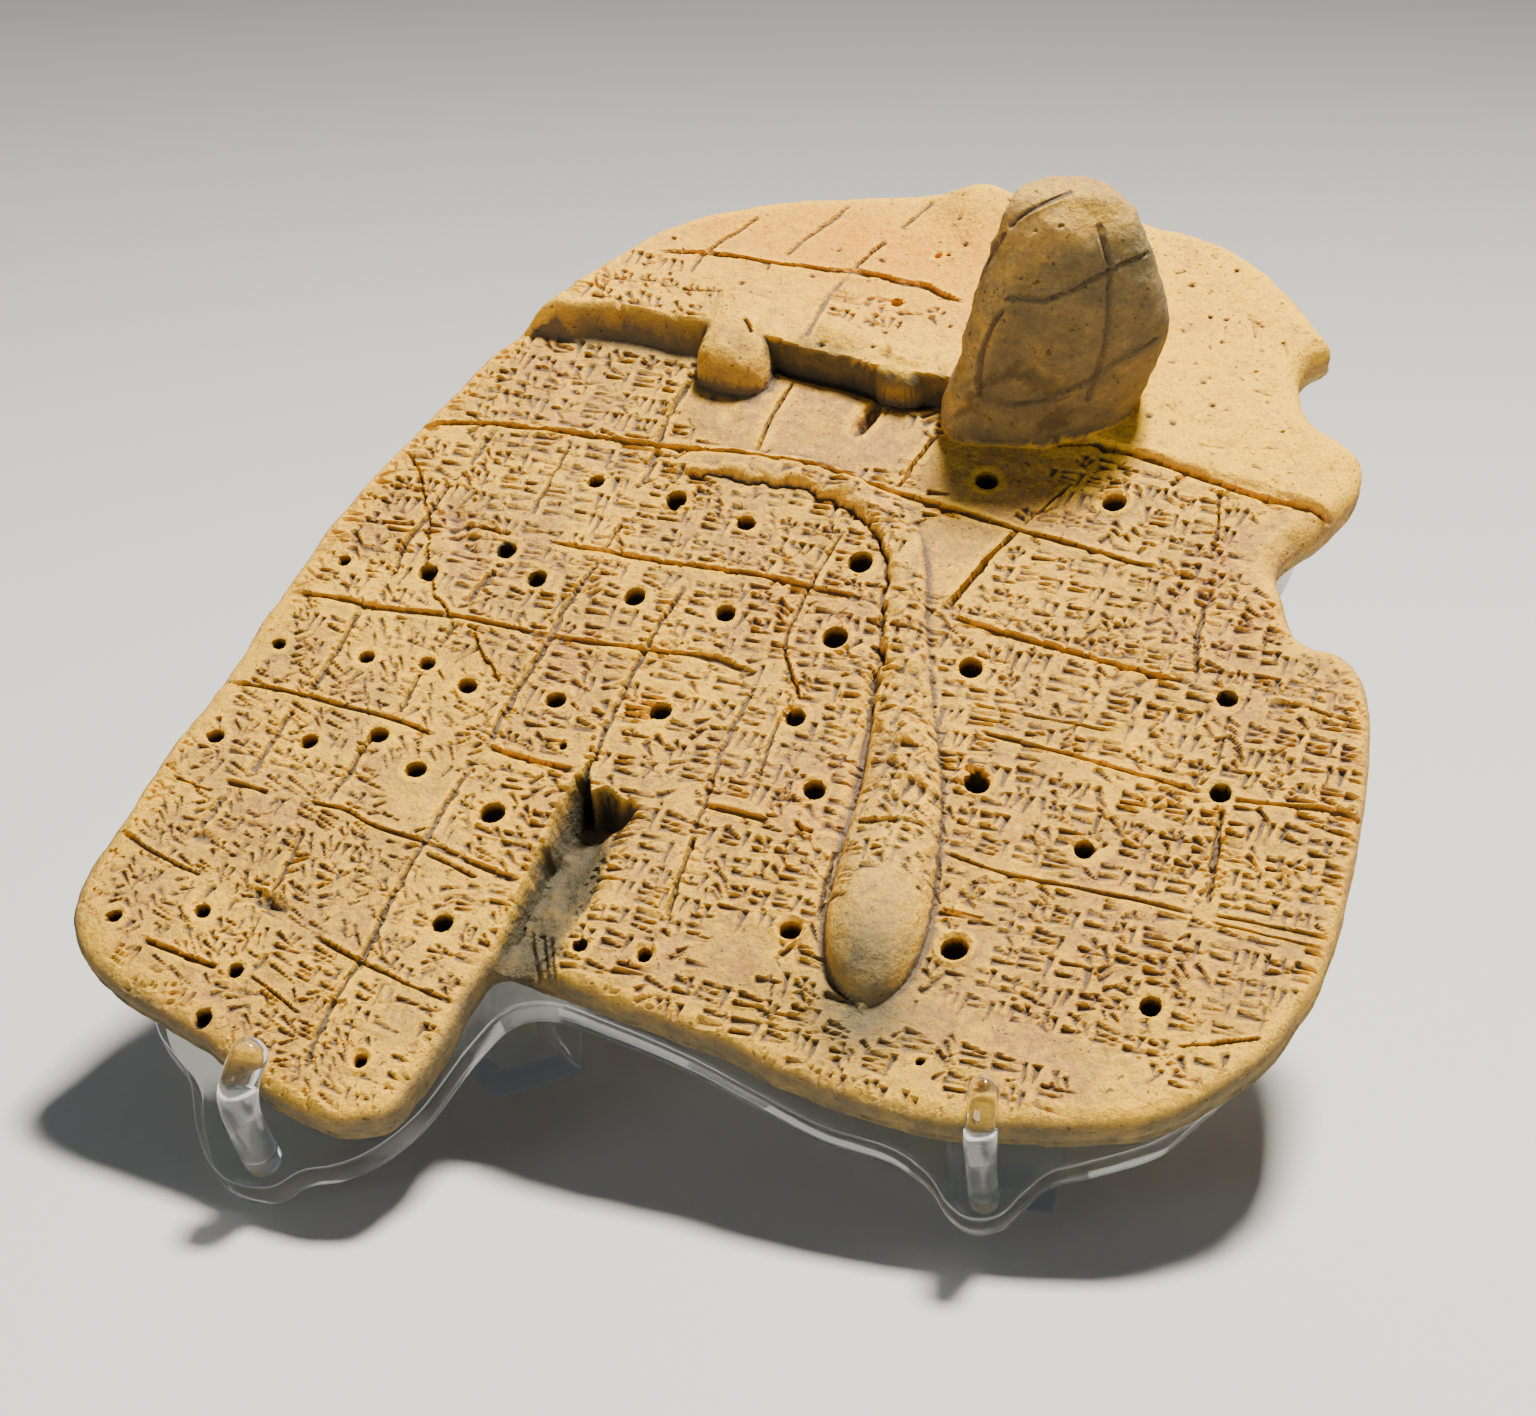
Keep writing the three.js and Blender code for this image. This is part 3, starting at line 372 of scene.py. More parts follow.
upright_lines = [
    (1.0, 0.65, [(-54.2, -10.2), (-54.5, -17), (-55.1, -22.8)]),
    (1.0, 0.5, [(-56, -25.5), (-57.1, -35.8)]), (1.0, 0.35, [(-58.8, -39.6), (-59.8, -44.6)]),
    (0.7, 0.6, [(-43.1, -16.7), (-43.4, -22.6)]), (0.9, 0.5, [(-45, -26), (-45.6, -31), (-46.6, -37)]),
    (0.75, 0.7, [(-47.6, -41.6), (-47.9, -50.6)]), (0.6, 0.35, [(-47.8, -52.4), (-47.7, -58.6)]),
    (0.9, 0.6, [(-28.2, 5.5), (-29.6, -2.4), (-29.7, -7.9), (-30.8, -15.8), (-31.3, -24.1)]),
    (0.85, 0.55, [(-31.9, -26), (-33.2, -38.5), (-34, -48), (-34.2, -56), (-35, -63), (-34.6, -71)]),
    (0.85, 0.6, [(-16.6, 3.8), (-17.6, -3), (-18.1, -10.6), (-18.4, -18), (-18.5, -22.5)]),
    (0.9, 1.6, [(-18.4, -21.8), (-18.5, -24), (-18.6, -26.5)]),
    (0.6, 0.8, [(-0.3, 17), (-1.8, 8), (-2, -0.3), (-0.5, -3.6), (2.6, -8.4)]),
    (0.7, 0.4, [(-3.1, -7.5), (-3.9, -15), (-3.5, -24.7), (-3.3, -29)]),
    (0.7, 1.1, [(-3.2, -29.6), (-2.4, -40.4)]),
    (1.0, 0.9, [(-27.3, 35.2), (-27.9, 28), (-27.6, 24.6)]), (0.9, 0.5, [(-27.4, 23.6), (-27.2, 18)]),
    (0.55, 0.6, [(-27.6, 11.2), (-28, 6.6)]), (0.6, 1.0, [(-14.3, 38), (-15, 32), (-14.9, 26)]),
    (0.8, 1.1, [(5.9, 34), (4.9, 30), (4, 25.6)]), (0.5, 0.4, [(24.6, 31.6), (22.4, 27.4), (20.6, 23.6)]),
    (0.95, 1.3, [(20.1, 22.6), (17.6, 16.6), (15.3, 9.6)]), (0.7, 0.4, [(42.2, 34.9), (43.7, 27.1)]),
    (0.9, 0.6, [(44.7, 18.3), (45.3, 12), (46.3, 8)]),
    (0.9, 0.7, [(53.8, -9.4), (54.4, -14.5), (55.4, -22)]),
    (0.55, 0.6, [(-38.4, 21.7), (-38.7, 15.7), (-39.1, 9.6)]), (0.9, 0.4, [(-49.1, 21), (-49.8, 15)]),
    (0.9, 0.7, [(-50.9, 11.7), (-51.9, 5.9), (-52.8, 0.9), (-52.3, -3.8)]),
    (0.9, 0.6, [(-40.5, 0.4), (-41.6, -5)]),
    (0.9, 0.35, [(-42, -8.6), (-42.4, -12.6)]), (0.6, 0.5, [(1.8, -8.5), (1, -14), (1.6, -20)]),
    (0.7, 0.5, [(13.2, -27), (13.8, -35)]), (0.5, 0.3, [(51.4, 3), (51.7, -4)]),
]
# Lines on raised or sunk clay, with their places as seen from the eye point
raised_lines = [
    (0.6, 0.6, [(-39, 55.4), (-36, 56), (-33, 56.6), (-28, 57.1), (-24, 57.1), (-20, 57.6),
                (-16, 57.8), (-12, 58.4)]),
    (0.95, 1.0, [(-13, 58.2), (-9, 58.5), (-6.5, 58), (-2.5, 58.1), (-0.5, 57.4), (2.5, 56.7)]),
    (0.55, 0.6, [(-28, 64.5), (-29.5, 62), (-31.2, 59.5), (-33, 56.5), (-33.7, 53)]),
    (0.5, 0.6, [(-24, 57), (-23.8, 55.7)]),
    (0.7, 0.5, [(-16.8, 70), (-18.5, 66), (-20.5, 62.5), (-22.5, 58.6)]),
    (0.6, 0.5, [(-6.3, 73), (-7.5, 70), (-9.3, 67)]),
    (0.55, 0.7, [(-10.4, 64.5), (-12, 61), (-12.8, 58.7)]),
    (0.7, 0.5, [(-13.3, 57), (-14.5, 53), (-14.9, 49), (-15.3, 46)]),
    (0.5, 0.5, [(-46, 49.4), (-44.6, 47.4), (-43, 49.6)]), (0.5, 0.8, [(-24, 47), (-22.3, 45)]),
    (0.6, 0.6, [(14, -22.6), (18.6, -21), (21.9, -21), (24.9, -22.9)]),
    (0.6, 0.6, [(-16.6, -46.6), (-15.4, -49.4), (-12.6, -53.6)]),
    (0.6, 0.6, [(-15.4, -46.4), (-14, -49.4), (-11.4, -53.5)]),
    (0.6, 0.6, [(-14.3, -46.6), (-13, -49.5), (-10.4, -53.2)]),
    (0.45, 0.9, [(-18.7, -36.8), (-17.3, -38.3), (-17.4, -40), (-17.8, -42)]),
    (0.45, 0.9, [(-18.2, -43), (-17.9, -46), (-17.4, -48.7)]),
]
cracks = [
    [(-59.1, 15.4), (-56.2, 12.9), (-53, 8.3), (-51.3, 4.6), (-49.1, -1), (-47.2, -3.5),
     (-45.3, -6), (-42.3, -8.8)],
    [(-39.6, -8.5), (-37.6, -11.4), (-34.6, -14.3), (-33.3, -15.4)],
    [(9, 34.6), (14, 35.4), (19, 36.3), (25.9, 38.2)],
]
plane_x, plane_y = as_seen(X, Y, np.clip(Z, -8, 12))


def furrow(width, depth, places, px, py, burr=0.12, sway_by=0.14):
    """Cuts a furrow along a row of places: depth times (1 - q^4) across it, q being the distance
    in half widths, with a low burr round q = 1.5. On the flat face the grid is first drawn onto
    the furrow's middle and its two edges, so that they run clean."""
    line = flowing(places, 6 * len(places))
    # only the part of the grid near the line, with room for raised places, which show shifted
    low, high = line.min(0) - 3, line.max(0) + 3
    rows = slice(*np.clip(np.searchsorted(grid_y, (low[1] - 12, high[1] + 9)), 0, len(grid_y)))
    columns = slice(*np.clip(np.searchsorted(grid_x, (low[0] - 4, high[0] + 5)), 0, len(grid_x)))
    x, y = px[rows, columns], py[rows, columns]
    sway = sway_by * soft_noise(x, y, 1.9, 61)
    near_x, near_y, gap, share = nearest_on(line, x + sway, y)
    ends = smooth_step(share * 8 + 0.25) * smooth_step((1 - share) * 8 + 0.25)
    half = width / 2 * (1 + 0.3 * soft_noise(x, y, 2.4, 63))
    if px is X:
        drawn = np.where(gap < 0.5 * cell, 0, np.where(np.abs(gap - half) < 0.5 * cell, half, gap))
        drawn = np.where(fixed[rows, columns], gap, drawn) / np.maximum(gap, 1e-9)
        X[rows, columns] = near_x + (x + sway - near_x) * drawn - sway
        Y[rows, columns] = near_y + (y - near_y) * drawn
        fixed[rows, columns] |= drawn != 1
        gap = gap * drawn
    q = gap / half
    cut = depth * (1 + 0.3 * soft_noise(x, y, 4.0, 65)) * np.clip(1 - q ** 4, 0, 1) * ends
    Z[rows, columns] -= cut - burr * np.exp(-((q - 1.5) / 0.45) ** 2) * ends


for lines, deeper in ((level_lines, 1.25), (upright_lines, 1.5)):
    for width, depth, places in lines:
        furrow(width, depth * deeper, places, X, Y)
for width, depth, places in raised_lines:
    furrow(width, depth, places, plane_x, plane_y, burr=0.08)
for places in cracks:
    furrow(0.36, 1.1, places, X, Y, burr=0, sway_by=0.5)


# Writing, as rows of shallow wedge strokes that follow the rulings and aren't letters: each
# stroke is a stylus corner pressed in, widest and deepest at its head and running out to a tail
dig, burrs = np.zeros(X.shape), np.zeros(X.shape)
# each is [x, y, half width, half height] of an oval left bare
bare_patches = [
    (-11.5, 32.4, 16, 6.4), (13.5, 30.8, 8.2, 7), (13.4, 17.3, 5.2, 6.5), (-37.4, -32.2, 4.9, 4.9),
    (5.6, -42.8, 4.9, 4.6), (-9.5, -24.2, 4, 1.4), (52, 27.5, 6.5, 6.2), (-22.5, 37, 5.2, 9),
    (16, 45, 15, 10.5), (31, -35.4, 2.6, 2.6), (-38.2, -29.8, 2.6, 2.6), (58, -49, 12, 4),
    (-66.5, -20, 2.5, 12), (-17, -38, 2.6, 14), (42, -44.3, 14, 1.8), (23, -45, 5, 4),
    (21, -38, 6.4, 7.5), (-26.5, -62.5, 2.5, 3.5), (-66, -62, 3, 5), (8.6, 13.5, 1.5, 4),
    (-17, 22.5, 7, 2.2),
]
ruled = np.vstack([flowing(places, 8 * len(places)) for _, _, places in level_lines])
holes = np.array(face_holes)


def press(x, y, angle, length, width, depth):
    """One wedge stroke: u runs from head to tail and v across, in half widths that shrink in a
    straight line. The bottom lies at v = 0.4; from there one side rises steeply and the other
    gently, all of it times depth times (1 - 0.7u), and a burr stands along the gentle side."""
    c, s = np.cos(angle), np.sin(angle)
    i, j = int((y - grid_y[0]) / cell), int((x - grid_x[0]) / cell)
    reach = int(length / cell) + 3
    rows, columns = slice(max(i - reach, 0), i + reach + 1), slice(max(j - reach, 0), j + reach + 1)
    dx, dy = X[rows, columns] - x, Y[rows, columns] - y
    u = (dx * c + dy * s) / length
    half = np.clip(width / 2 * (1 - 0.85 * np.clip(u, 0, 1)), 0.15, None)
    v = (dy * c - dx * s) / half
    fall = np.clip(1 + u * length / 0.2, 0, 1) * (1 - 0.7 * np.clip(u, 0, 1)) * np.clip((1 - u) * 5, 0, 1)
    cut = depth * fall * np.clip(np.where(v > 0.4, (1 - v) / 0.6, (1 + v) / 1.4), 0, 1)
    dig[rows, columns] = np.maximum(dig[rows, columns], cut)
    edge = 0.2 * depth * np.exp(-((v + 1.4) / 0.4) ** 2) * (u > 0) * (u < 0.8)
    burrs[rows, columns] = np.maximum(burrs[rows, columns], edge)


def free_place(x, y, tall):
    """True where a stroke may stand: on the face, off the rulings, the holes and bare patches."""
    if any(((x - a) / rx) ** 2 + ((y - b) / ry) ** 2 < 1 for a, b, rx, ry in bare_patches):
        return False
    if y > 38.2 - 0.107 * (x - 25.6) - 1.6 and x > 6:
        return False
    if np.hypot(holes[:, 0] - x, holes[:, 1] - y).min() < 2.0:
        return False
    near = np.abs(ruled[:, 0] - x) < 1.2
    return not near.any() or np.abs(ruled[near, 1] - y).min() > (1.0 if tall else 0.55)


def sign_strokes(kind):
    """One sign's strokes, each [right, up, angle, length], and the width it takes, in shares of
    its size: level strokes one above another, upright ones side by side, slanted ones, a cross,
    or a longer sign of four. Heads are up or to the left."""
    wide = (1.15, 0.8, 0.8, 0.95, 1.2)[kind]
    if kind == 0:
        count = grain.integers(2, 4)
        strokes = [(grain.uniform(0, 0.15), 0.42 - 0.9 * k / count, grain.normal(-0.03, 0.1), 1.3)
                   for k in range(count)]
        if grain.random() < 0.4:
            strokes.append((0.92 * wide, 0.5, grain.normal(-1.57, 0.12), 1.1))
            wide *= 1.2
    elif kind == 1:
        strokes = [(0.45 * k, grain.uniform(0.35, 0.52), grain.normal(-1.57, 0.15), 1.15)
                   for k in range(grain.integers(1, 4))]
    elif kind == 2:
        lean = grain.choice((-0.75, -0.6, 0.7))
        strokes = [(grain.uniform(0, 0.45), 0.45 - 0.4 * k, grain.normal(lean, 0.18), 0.9)
                   for k in range(grain.integers(2, 4))]
    elif kind == 3:
        strokes = [(0, 0.3, grain.normal(-0.1, 0.1), 1.2), (0.1, -0.25, grain.normal(0.1, 0.1), 1.1),
                   (0.6, 0.5, grain.normal(-1.6, 0.1), 1.0)]
    else:
        strokes = [(0, grain.normal(0, 0.2), grain.normal(0, 0.1), 1.5),
                   (0.35, 0.5, grain.normal(-1.4, 0.2), 0.8),
                   (0.75, 0.35, grain.normal(-1.6, 0.4), 0.9),
                   (0.3, -0.15, grain.normal(-0.8, 0.25), 0.7)]
    return strokes, wide


def write_row(x0, x1, y, slope, sign, deep):
    """A row of signs from x0 to x1, with a gap after each. Low down on the left the strokes are
    finer and more of them slant."""
    x = x0
    while x < x1:
        base = y + slope * (x - x0) + grain.normal(0, 0.15)
        fine = smooth_step((-24 - x) / 12) * smooth_step((4 - base) / 20)
        chances = (0.36 - 0.2 * fine, 0.12, 0.16 + 0.3 * fine, 0.14, 0.22 - 0.1 * fine)
        kind = grain.choice(5, p=chances)
        size = sign * grain.uniform(0.85, 1.15)
        strokes, wide = sign_strokes(kind)
        for right, up, angle, share in strokes:
            head_x, head_y = x + right * size, base + up * size
            if free_place(head_x, head_y, np.sin(angle) < -0.7):
                length = size * share * grain.uniform(0.7, 1.15)
                width = grain.uniform(0.65, 1.2) * (0.6 + 0.26 * size) * (1 - 0.3 * fine)
                depth = deep * grain.uniform(0.65, 1.2) * (1 - 0.15 * fine)
                press(head_x, head_y, angle - 0.25 * fine, length, width, depth)
        x += wide * size * (1 - 0.1 * fine) + grain.uniform(0.0, 0.3)


row_gap, first_row, row_count, loose_marks = 3.3, 36.2, 34, 1500
for number in range(row_count):
    row_y = first_row - row_gap * number
    grid_row = int((row_y - grid_y[0]) / cell)
    reach_x = X[grid_row][kept[grid_row]]
    if len(reach_x) > 20:
        left_big = row_y > 8
        write_row(reach_x[0] + 1.3, -20 if left_big else reach_x[-1] - 1.8, row_y, 0.012, 2.8, 0.9)
        if left_big:
            write_row(-20, reach_x[-1] - 2.2, row_y, -0.02, 2.5, 0.85)
terrace_rows = [(42.6, -47, -28), (46.2, -44, -27.5), (46.9, -12.5, -2), (50.2, -12.5, 3), (50, -41, -34)]
for row_y, x0, x1 in terrace_rows:
    write_row(x0, x1, row_y, 0.01, 2.6, 0.7)
for number in range(loose_marks):
    mx, my = grain.uniform(-70, 69), grain.uniform(-74, 36)
    if free_place(mx, my, False):
        press(mx, my, grain.choice((-0.5, -0.1, -1.4, 0.7)) + grain.normal(0, 0.25),
              grain.uniform(1.0, 2.2), grain.uniform(0.5, 1.0), grain.uniform(0.35, 0.75))
face_edge = smooth_step((within - 0.3) / 1.1)
wear = 0.88 + 0.25 * soft_noise(X, Y, 9.0, 71)
Z -= (dig - burrs * (dig < 0.02)) * face_edge * wear * (1 - 0.5 * fissure * (1 - climb))

# The plain field and the terrace carry only fine scratches and pits; the whole face is rough
scratches = np.zeros(X.shape)
scratch_count, pit_count = 70, 60
for number in range(scratch_count):
    px, py = grain.uniform(22, 60), grain.uniform(37, 75)
    angle = grain.normal(-0.35, 0.5)
    gap = np.abs((Y - py) * np.cos(angle) - (X - px) * np.sin(angle))
    run = np.abs((X - px) * np.cos(angle) + (Y - py) * np.sin(angle))
    scratch = np.clip(1 - gap / 0.26, 0, 1) * (run < grain.uniform(0.3, 1.6)) * grain.uniform(0.1, 0.4)
    scratches = np.maximum(scratches, scratch)
for number in range(pit_count):
    px, py, wide = grain.uniform(-45, 62), grain.uniform(40, 76), grain.uniform(0.3, 0.7)
    pit = np.clip(1 - np.hypot(X - px, (Y - py) * 1.4) / wide, 0, 1)
    scratches = np.maximum(scratches, 0.7 * pit)
Z -= scratches * (np.maximum(on_plain, on_terrace) > 0.5) * face_edge
Z += (0.05 * soft_noise(X, Y, 0.9, 75, 1) + 0.1 * soft_noise(X, Y, 2.1, 77, 1)) * face_edge

# The holes themselves: straight pokes about 6 mm deep, with a pushed-up ring round some of them


def back_height(from_rim):
    """The convex back: 4.3 mm down at the rim and 7.6 more well inside, along a quarter of an
    ellipse that reaches 21 mm in."""
    return -4.3 - 7.6 * np.sqrt(np.clip(1 - (1 - np.clip(from_rim, 0, 21.0) / 21.0) ** 2, 0, 1))


floor_z = back_height(within)
ringed = {(30, -35.4), (26, -13.8), (11.7, -38.4), (-3.1, -45.9), (-29, -67.4), (30.3, 29.8)}
for hx, hy, diameter in face_holes:
    _, reach, mouth = around_hole(hx, hy, diameter)
    around = reach < mouth + 1.5
    ring = 0.45 if (hx, hy) in ringed else 0.1
    Z[around] += ring * np.exp(-((reach[around] - mouth[around] - 0.55) / 0.35) ** 2)
    Z[around] -= 0.14 * np.clip(1 - (reach[around] - mouth[around]) / 0.3, 0, 1)
    sunk_in = reach < mouth - 0.3 * cell
    surface = Z[around].mean()
    bottom = np.maximum(surface - min(6, 2.6 * diameter), floor_z[sunk_in] + 1.0)
    Z[sunk_in] = bottom - 0.3 * (1 - (reach / mouth)[sunk_in])


# The lump closed up: rounded edge, a wall about 2 mm high, and a convex back that is left plain
mouth_gap = smooth_step((X + 21) / 2) * smooth_step((-8 - X) / 3) * smooth_step((-44 - Y) / 3)
rim_z = -2.5 - 1.3 * mouth_gap - 0.8 * smooth_step((X - 46) / 4) * smooth_step((Y - 14) / 4) * (Y < 34)
Z = np.where(within < edge_round, rim_z + (Z - rim_z) * np.sin(phase), Z)
back_z = back_height(packed)
back_z += 0.25 * soft_noise(X, Y, 12.0, 81) * smooth_step(within / 6)


def faces_of(*corners):
    """Faces from the place numbers of their first corners, second corners and so on."""
    return np.column_stack([np.ravel(corner) for corner in corners])


shown = corners > 0
front_count = int(shown.sum())
number = np.full(X.shape, -1)
number[shown] = np.arange(front_count)
a, b = number[:-1, :-1][quads], number[:-1, 1:][quads]
c, d = number[1:, 1:][quads], number[1:, :-1][quads]
front = np.concatenate([faces_of(a, b, c), faces_of(a, c, d)])
edges = np.concatenate([faces_of(*pair) for pair in ((a, b), (b, c), (c, d), (d, a))])
forward = edges[:, 0].astype(np.int64) * front_count + edges[:, 1]
backward = edges[:, 1].astype(np.int64) * front_count + edges[:, 0]
outer = edges[~np.isin(forward, backward)]
m, n = outer.T
wall = np.concatenate([faces_of(m, m + front_count, n + front_count),
                       faces_of(m, n + front_count, n)])

# Back: the same grid, in blocks of four cells well inside, each a fan from its middle place
block = 4
tall, wide = (quads.shape[0] // block) * block, (quads.shape[1] // block) * block
deep_in = (within[:-1, :-1] > 4) & quads
whole = deep_in[:tall, :wide].reshape(tall // block, block, wide // block, block).all((1, 3))
loose = quads.copy()
loose[:tall, :wide] &= ~np.repeat(np.repeat(whole, block, 0), block, 1)
back = [faces_of(number[:-1, :-1][loose], number[1:, 1:][loose], number[:-1, 1:][loose]),
        faces_of(number[:-1, :-1][loose], number[1:, :-1][loose], number[1:, 1:][loose])]
framed = np.pad(whole, 1)
rows, columns = np.nonzero(whole)
middle = number[rows * block + 2, columns * block + 2]
for down, right, start, run in ((-1, 0, (0, 0), (0, 1)), (0, 1, (0, block), (1, 0)),
                                (1, 0, (block, block), (0, -1)), (0, -1, (block, 0), (-1, 0))):
    joined = framed[rows + 1 + down, columns + 1 + right]
    for pieces, chosen in ((1, joined), (block, ~joined)):
        r, q, centre = rows[chosen] * block, columns[chosen] * block, middle[chosen]
        stride = block // pieces
        for k in range(pieces):
            near, far = (number[r + start[0] + run[0] * stride * n, q + start[1] + run[1] * stride * n]
                         for n in (k, k + 1))
            back.append(faces_of(far, near, centre))
back = np.concatenate(back) + front_count
drawn_in = np.where(border, 0.3, 0.0) * (np.stack([-1 - X, -Y]) / np.hypot(-1 - X, 0.01 - Y))
body_places = np.concatenate([
    np.column_stack([X[shown], Y[shown], Z[shown]]),
    np.column_stack([(X + drawn_in[0])[shown], (Y + drawn_in[1])[shown], back_z[shown]])])


def shown_object(name, data):
    """An object of that name for a mesh, lamp or camera, put into the scene."""
    made = bpy.data.objects.new(name, data)
    bpy.context.scene.collection.objects.link(made)
    return made


def new_mesh(name, places, faces):
    """An object from places and faces, with any place that no face uses left out."""
    used = np.unique(faces)
    again = np.full(len(places), -1)
    again[used] = np.arange(len(used))
    mesh = bpy.data.meshes.new(name)
    mesh.from_pydata(places[used].tolist(), [], again[faces].tolist())
    mesh.polygons.foreach_set("use_smooth", [True] * len(mesh.polygons))
    mesh.update()
    return shown_object(name, mesh)


# Standing lobe, drawn up by hand into a blunt three-sided pyramid and incised with a few lines:
# [height, middle x, middle y, half width, half depth, turn in degrees]
lobe_sections = [
    (-3, 16.2, 45.8, 11.2, 11.2, 24), (0, 16.3, 45.5, 11.3, 10.8, 24), (6, 17.8, 45.4, 12, 9.8, 24),
    (13, 19.2, 46, 12, 9.6, 24), (20, 19.7, 46.6, 11, 8.8, 22), (26, 20, 46.9, 9.4, 7.2, 20),
    (30.5, 20, 47.1, 7.7, 5.2, 18), (33, 19.4, 47.3, 6, 3.2, 18), (34.2, 19.1, 47.4, 3.9, 1.7, 18),
    (34.5, 19, 47.4, 0.02, 0.02, 18)]
lobe_lines = [
    [(10.8, 78.7), (8.5, 76.5), (6.8, 74.6), (5.3, 72.5), (4.9, 71.2)],
    [(4.5, 69.5), (3.8, 66), (3.6, 62), (3.2, 59)],
    [(8.2, 59), (10.5, 59), (13, 60), (16, 62.6), (19, 66.2), (21.5, 68.7), (23.4, 70.7)],
    [(16.3, 74), (17.3, 71.5), (18.5, 69.3), (19.8, 66), (20.5, 62.5), (21.5, 59), (22.3, 54.5),
     (22.6, 51), (22.7, 47), (22.6, 45)],
    [(8.1, 56.5), (7.5, 54), (7.5, 49.5), (8.3, 45.5), (9.2, 42.8), (10.4, 41.9), (13, 41.8),
     (16, 42.8), (19, 45), (22.5, 48.7), (25.5, 53.5), (28.3, 57)],
]
lobe_ridges = [[(3.8, 55), (5, 50.5), (6.5, 46.5), (8, 43.5)],
               [(5.3, 68), (6.5, 64.5), (7.5, 60.5), (8.5, 58.3)]]
lobe_pits = [(15.7, 51.3, 0.5), (14.3, 46.8, 0.5), (21.5, 41.5, 0.8), (14.5, 38.6, 0.6), (11.2, 72.8, 0.5),
             (10.9, 62.5, 0.5), (25.8, 49, 0.5), (8.2, 71, 0.4), (6.2, 77.6, 0.5), (25, 62, 0.4)]
lobe_foot, lobe_tip = (16.2, 45.8, -3), (19, 47.4, 34.55)
around, up = 230, 130
ring = flowing(lobe_sections, up)
theta = np.linspace(0, 2 * np.pi, around, endpoint=False)[None, :]
height, middle_x, middle_y, half_wide, half_deep = (ring[:, k][:, None] for k in range(5))
turn = np.radians(ring[:, 5])[:, None]
reach = 1 + 0.1 * np.cos(3 * (theta - np.pi / 2)) + 0.012 * np.cos(6 * (theta - np.pi / 2))
left_corner = np.exp(-((theta + turn - np.radians(228)) / 0.4) ** 2)
reach = reach + 0.13 * left_corner * smooth_step((12 - height) / 12)
u, v = half_wide * reach * np.cos(theta), half_deep * reach * np.sin(theta)
lobe_x = middle_x + u * np.cos(turn) - v * np.sin(turn)
lobe_y = middle_y + u * np.sin(turn) + v * np.cos(turn)
lobe_z = height + np.zeros_like(lobe_x)
out_x, out_y = lobe_x - middle_x, lobe_y - middle_y
out_length = np.hypot(out_x, out_y) + 1e-6
rough = (0.32 * soft_noise(lobe_x + 0.6 * lobe_z, lobe_y + 0.7 * lobe_z, 5.0, 91)
         + 0.14 * soft_noise(lobe_x - 0.7 * lobe_z, lobe_y + 0.5 * lobe_z, 1.7, 93))
lobe_seen_x, lobe_seen_y = as_seen(lobe_x, lobe_y, lobe_z)
toward_eye = (out_x * (eye[0] - lobe_x) + out_y * (eye[1] - lobe_y)) / out_length / np.linalg.norm(eye)
facing = smooth_step(toward_eye / 0.12 + 0.6)
for places in lobe_lines:
    gap = nearest_on(flowing(places, 50), lobe_seen_x, lobe_seen_y)[2]
    rough -= 0.42 * np.clip(1 - gap / 0.45, 0, 1) * facing
    rough += 0.1 * np.exp(-((gap - 0.7) / 0.25) ** 2) * facing
for places in lobe_ridges:
    gap = nearest_on(flowing(places, 30), lobe_seen_x, lobe_seen_y)[2]
    rough += 0.22 * np.exp(-(gap / 0.35) ** 2) * facing
for pit_x, pit_y, wide in lobe_pits:
    gap = np.hypot(lobe_seen_x - pit_x, lobe_seen_y - pit_y)
    rough -= 0.7 * np.clip(1 - gap / wide, 0, 1) * facing
fade = np.clip(out_length / 2.5, 0, 1)
lobe_x = lobe_x + rough * fade * out_x / out_length
lobe_y = lobe_y + rough * fade * out_y / out_length
lobe_z = lobe_z + rough * 0.35 * smooth_step((height - 20) / 12)


def ring_corners(levels, count):
    """The place numbers at the four corners of every face between rings of equal count: below,
    below and next, above, above and next."""
    grid = np.arange(levels * count).reshape(levels, count)
    following = np.roll(grid, -1, 1)
    return grid[:-1], following[:-1], grid[1:], following[1:]


p, q, r, s = ring_corners(up, around)
foot, tip = np.full(around, around * up), np.full(around, around * up + 1)
lobe_faces = np.concatenate([
    faces_of(p, q, s), faces_of(p, s, r), faces_of(p[0], foot, q[0]), faces_of(r[-1], s[-1], tip)])
lobe_places = np.vstack([np.column_stack([lobe_x.ravel(), lobe_y.ravel(), lobe_z.ravel()]),
                         lobe_foot, lobe_tip])
body = new_mesh("clay_body", body_places, np.concatenate([front, wall, back]))
lobe = new_mesh("clay_lobe", lobe_places, lobe_faces)
join = body.modifiers.new("lobe", "BOOLEAN")
join.operation, join.solver, join.object = "UNION", "MANIFOLD", lobe
thin = body.modifiers.new("thin", "DECIMATE")
most_triangles = 197000
thin.ratio = most_triangles / (len(front) + len(wall) + len(back) + len(lobe_faces))
shaped = body.evaluated_get(bpy.context.evaluated_depsgraph_get())
tablet_mesh = bpy.data.meshes.new_from_object(shaped)
tablet_mesh.name = "clay_tablet"
tablet_mesh.set_sharp_from_angle(angle=np.radians(32))
bpy.data.objects.remove(body)
bpy.data.objects.remove(lobe)
tablet = shown_object("clay_tablet", tablet_mesh)

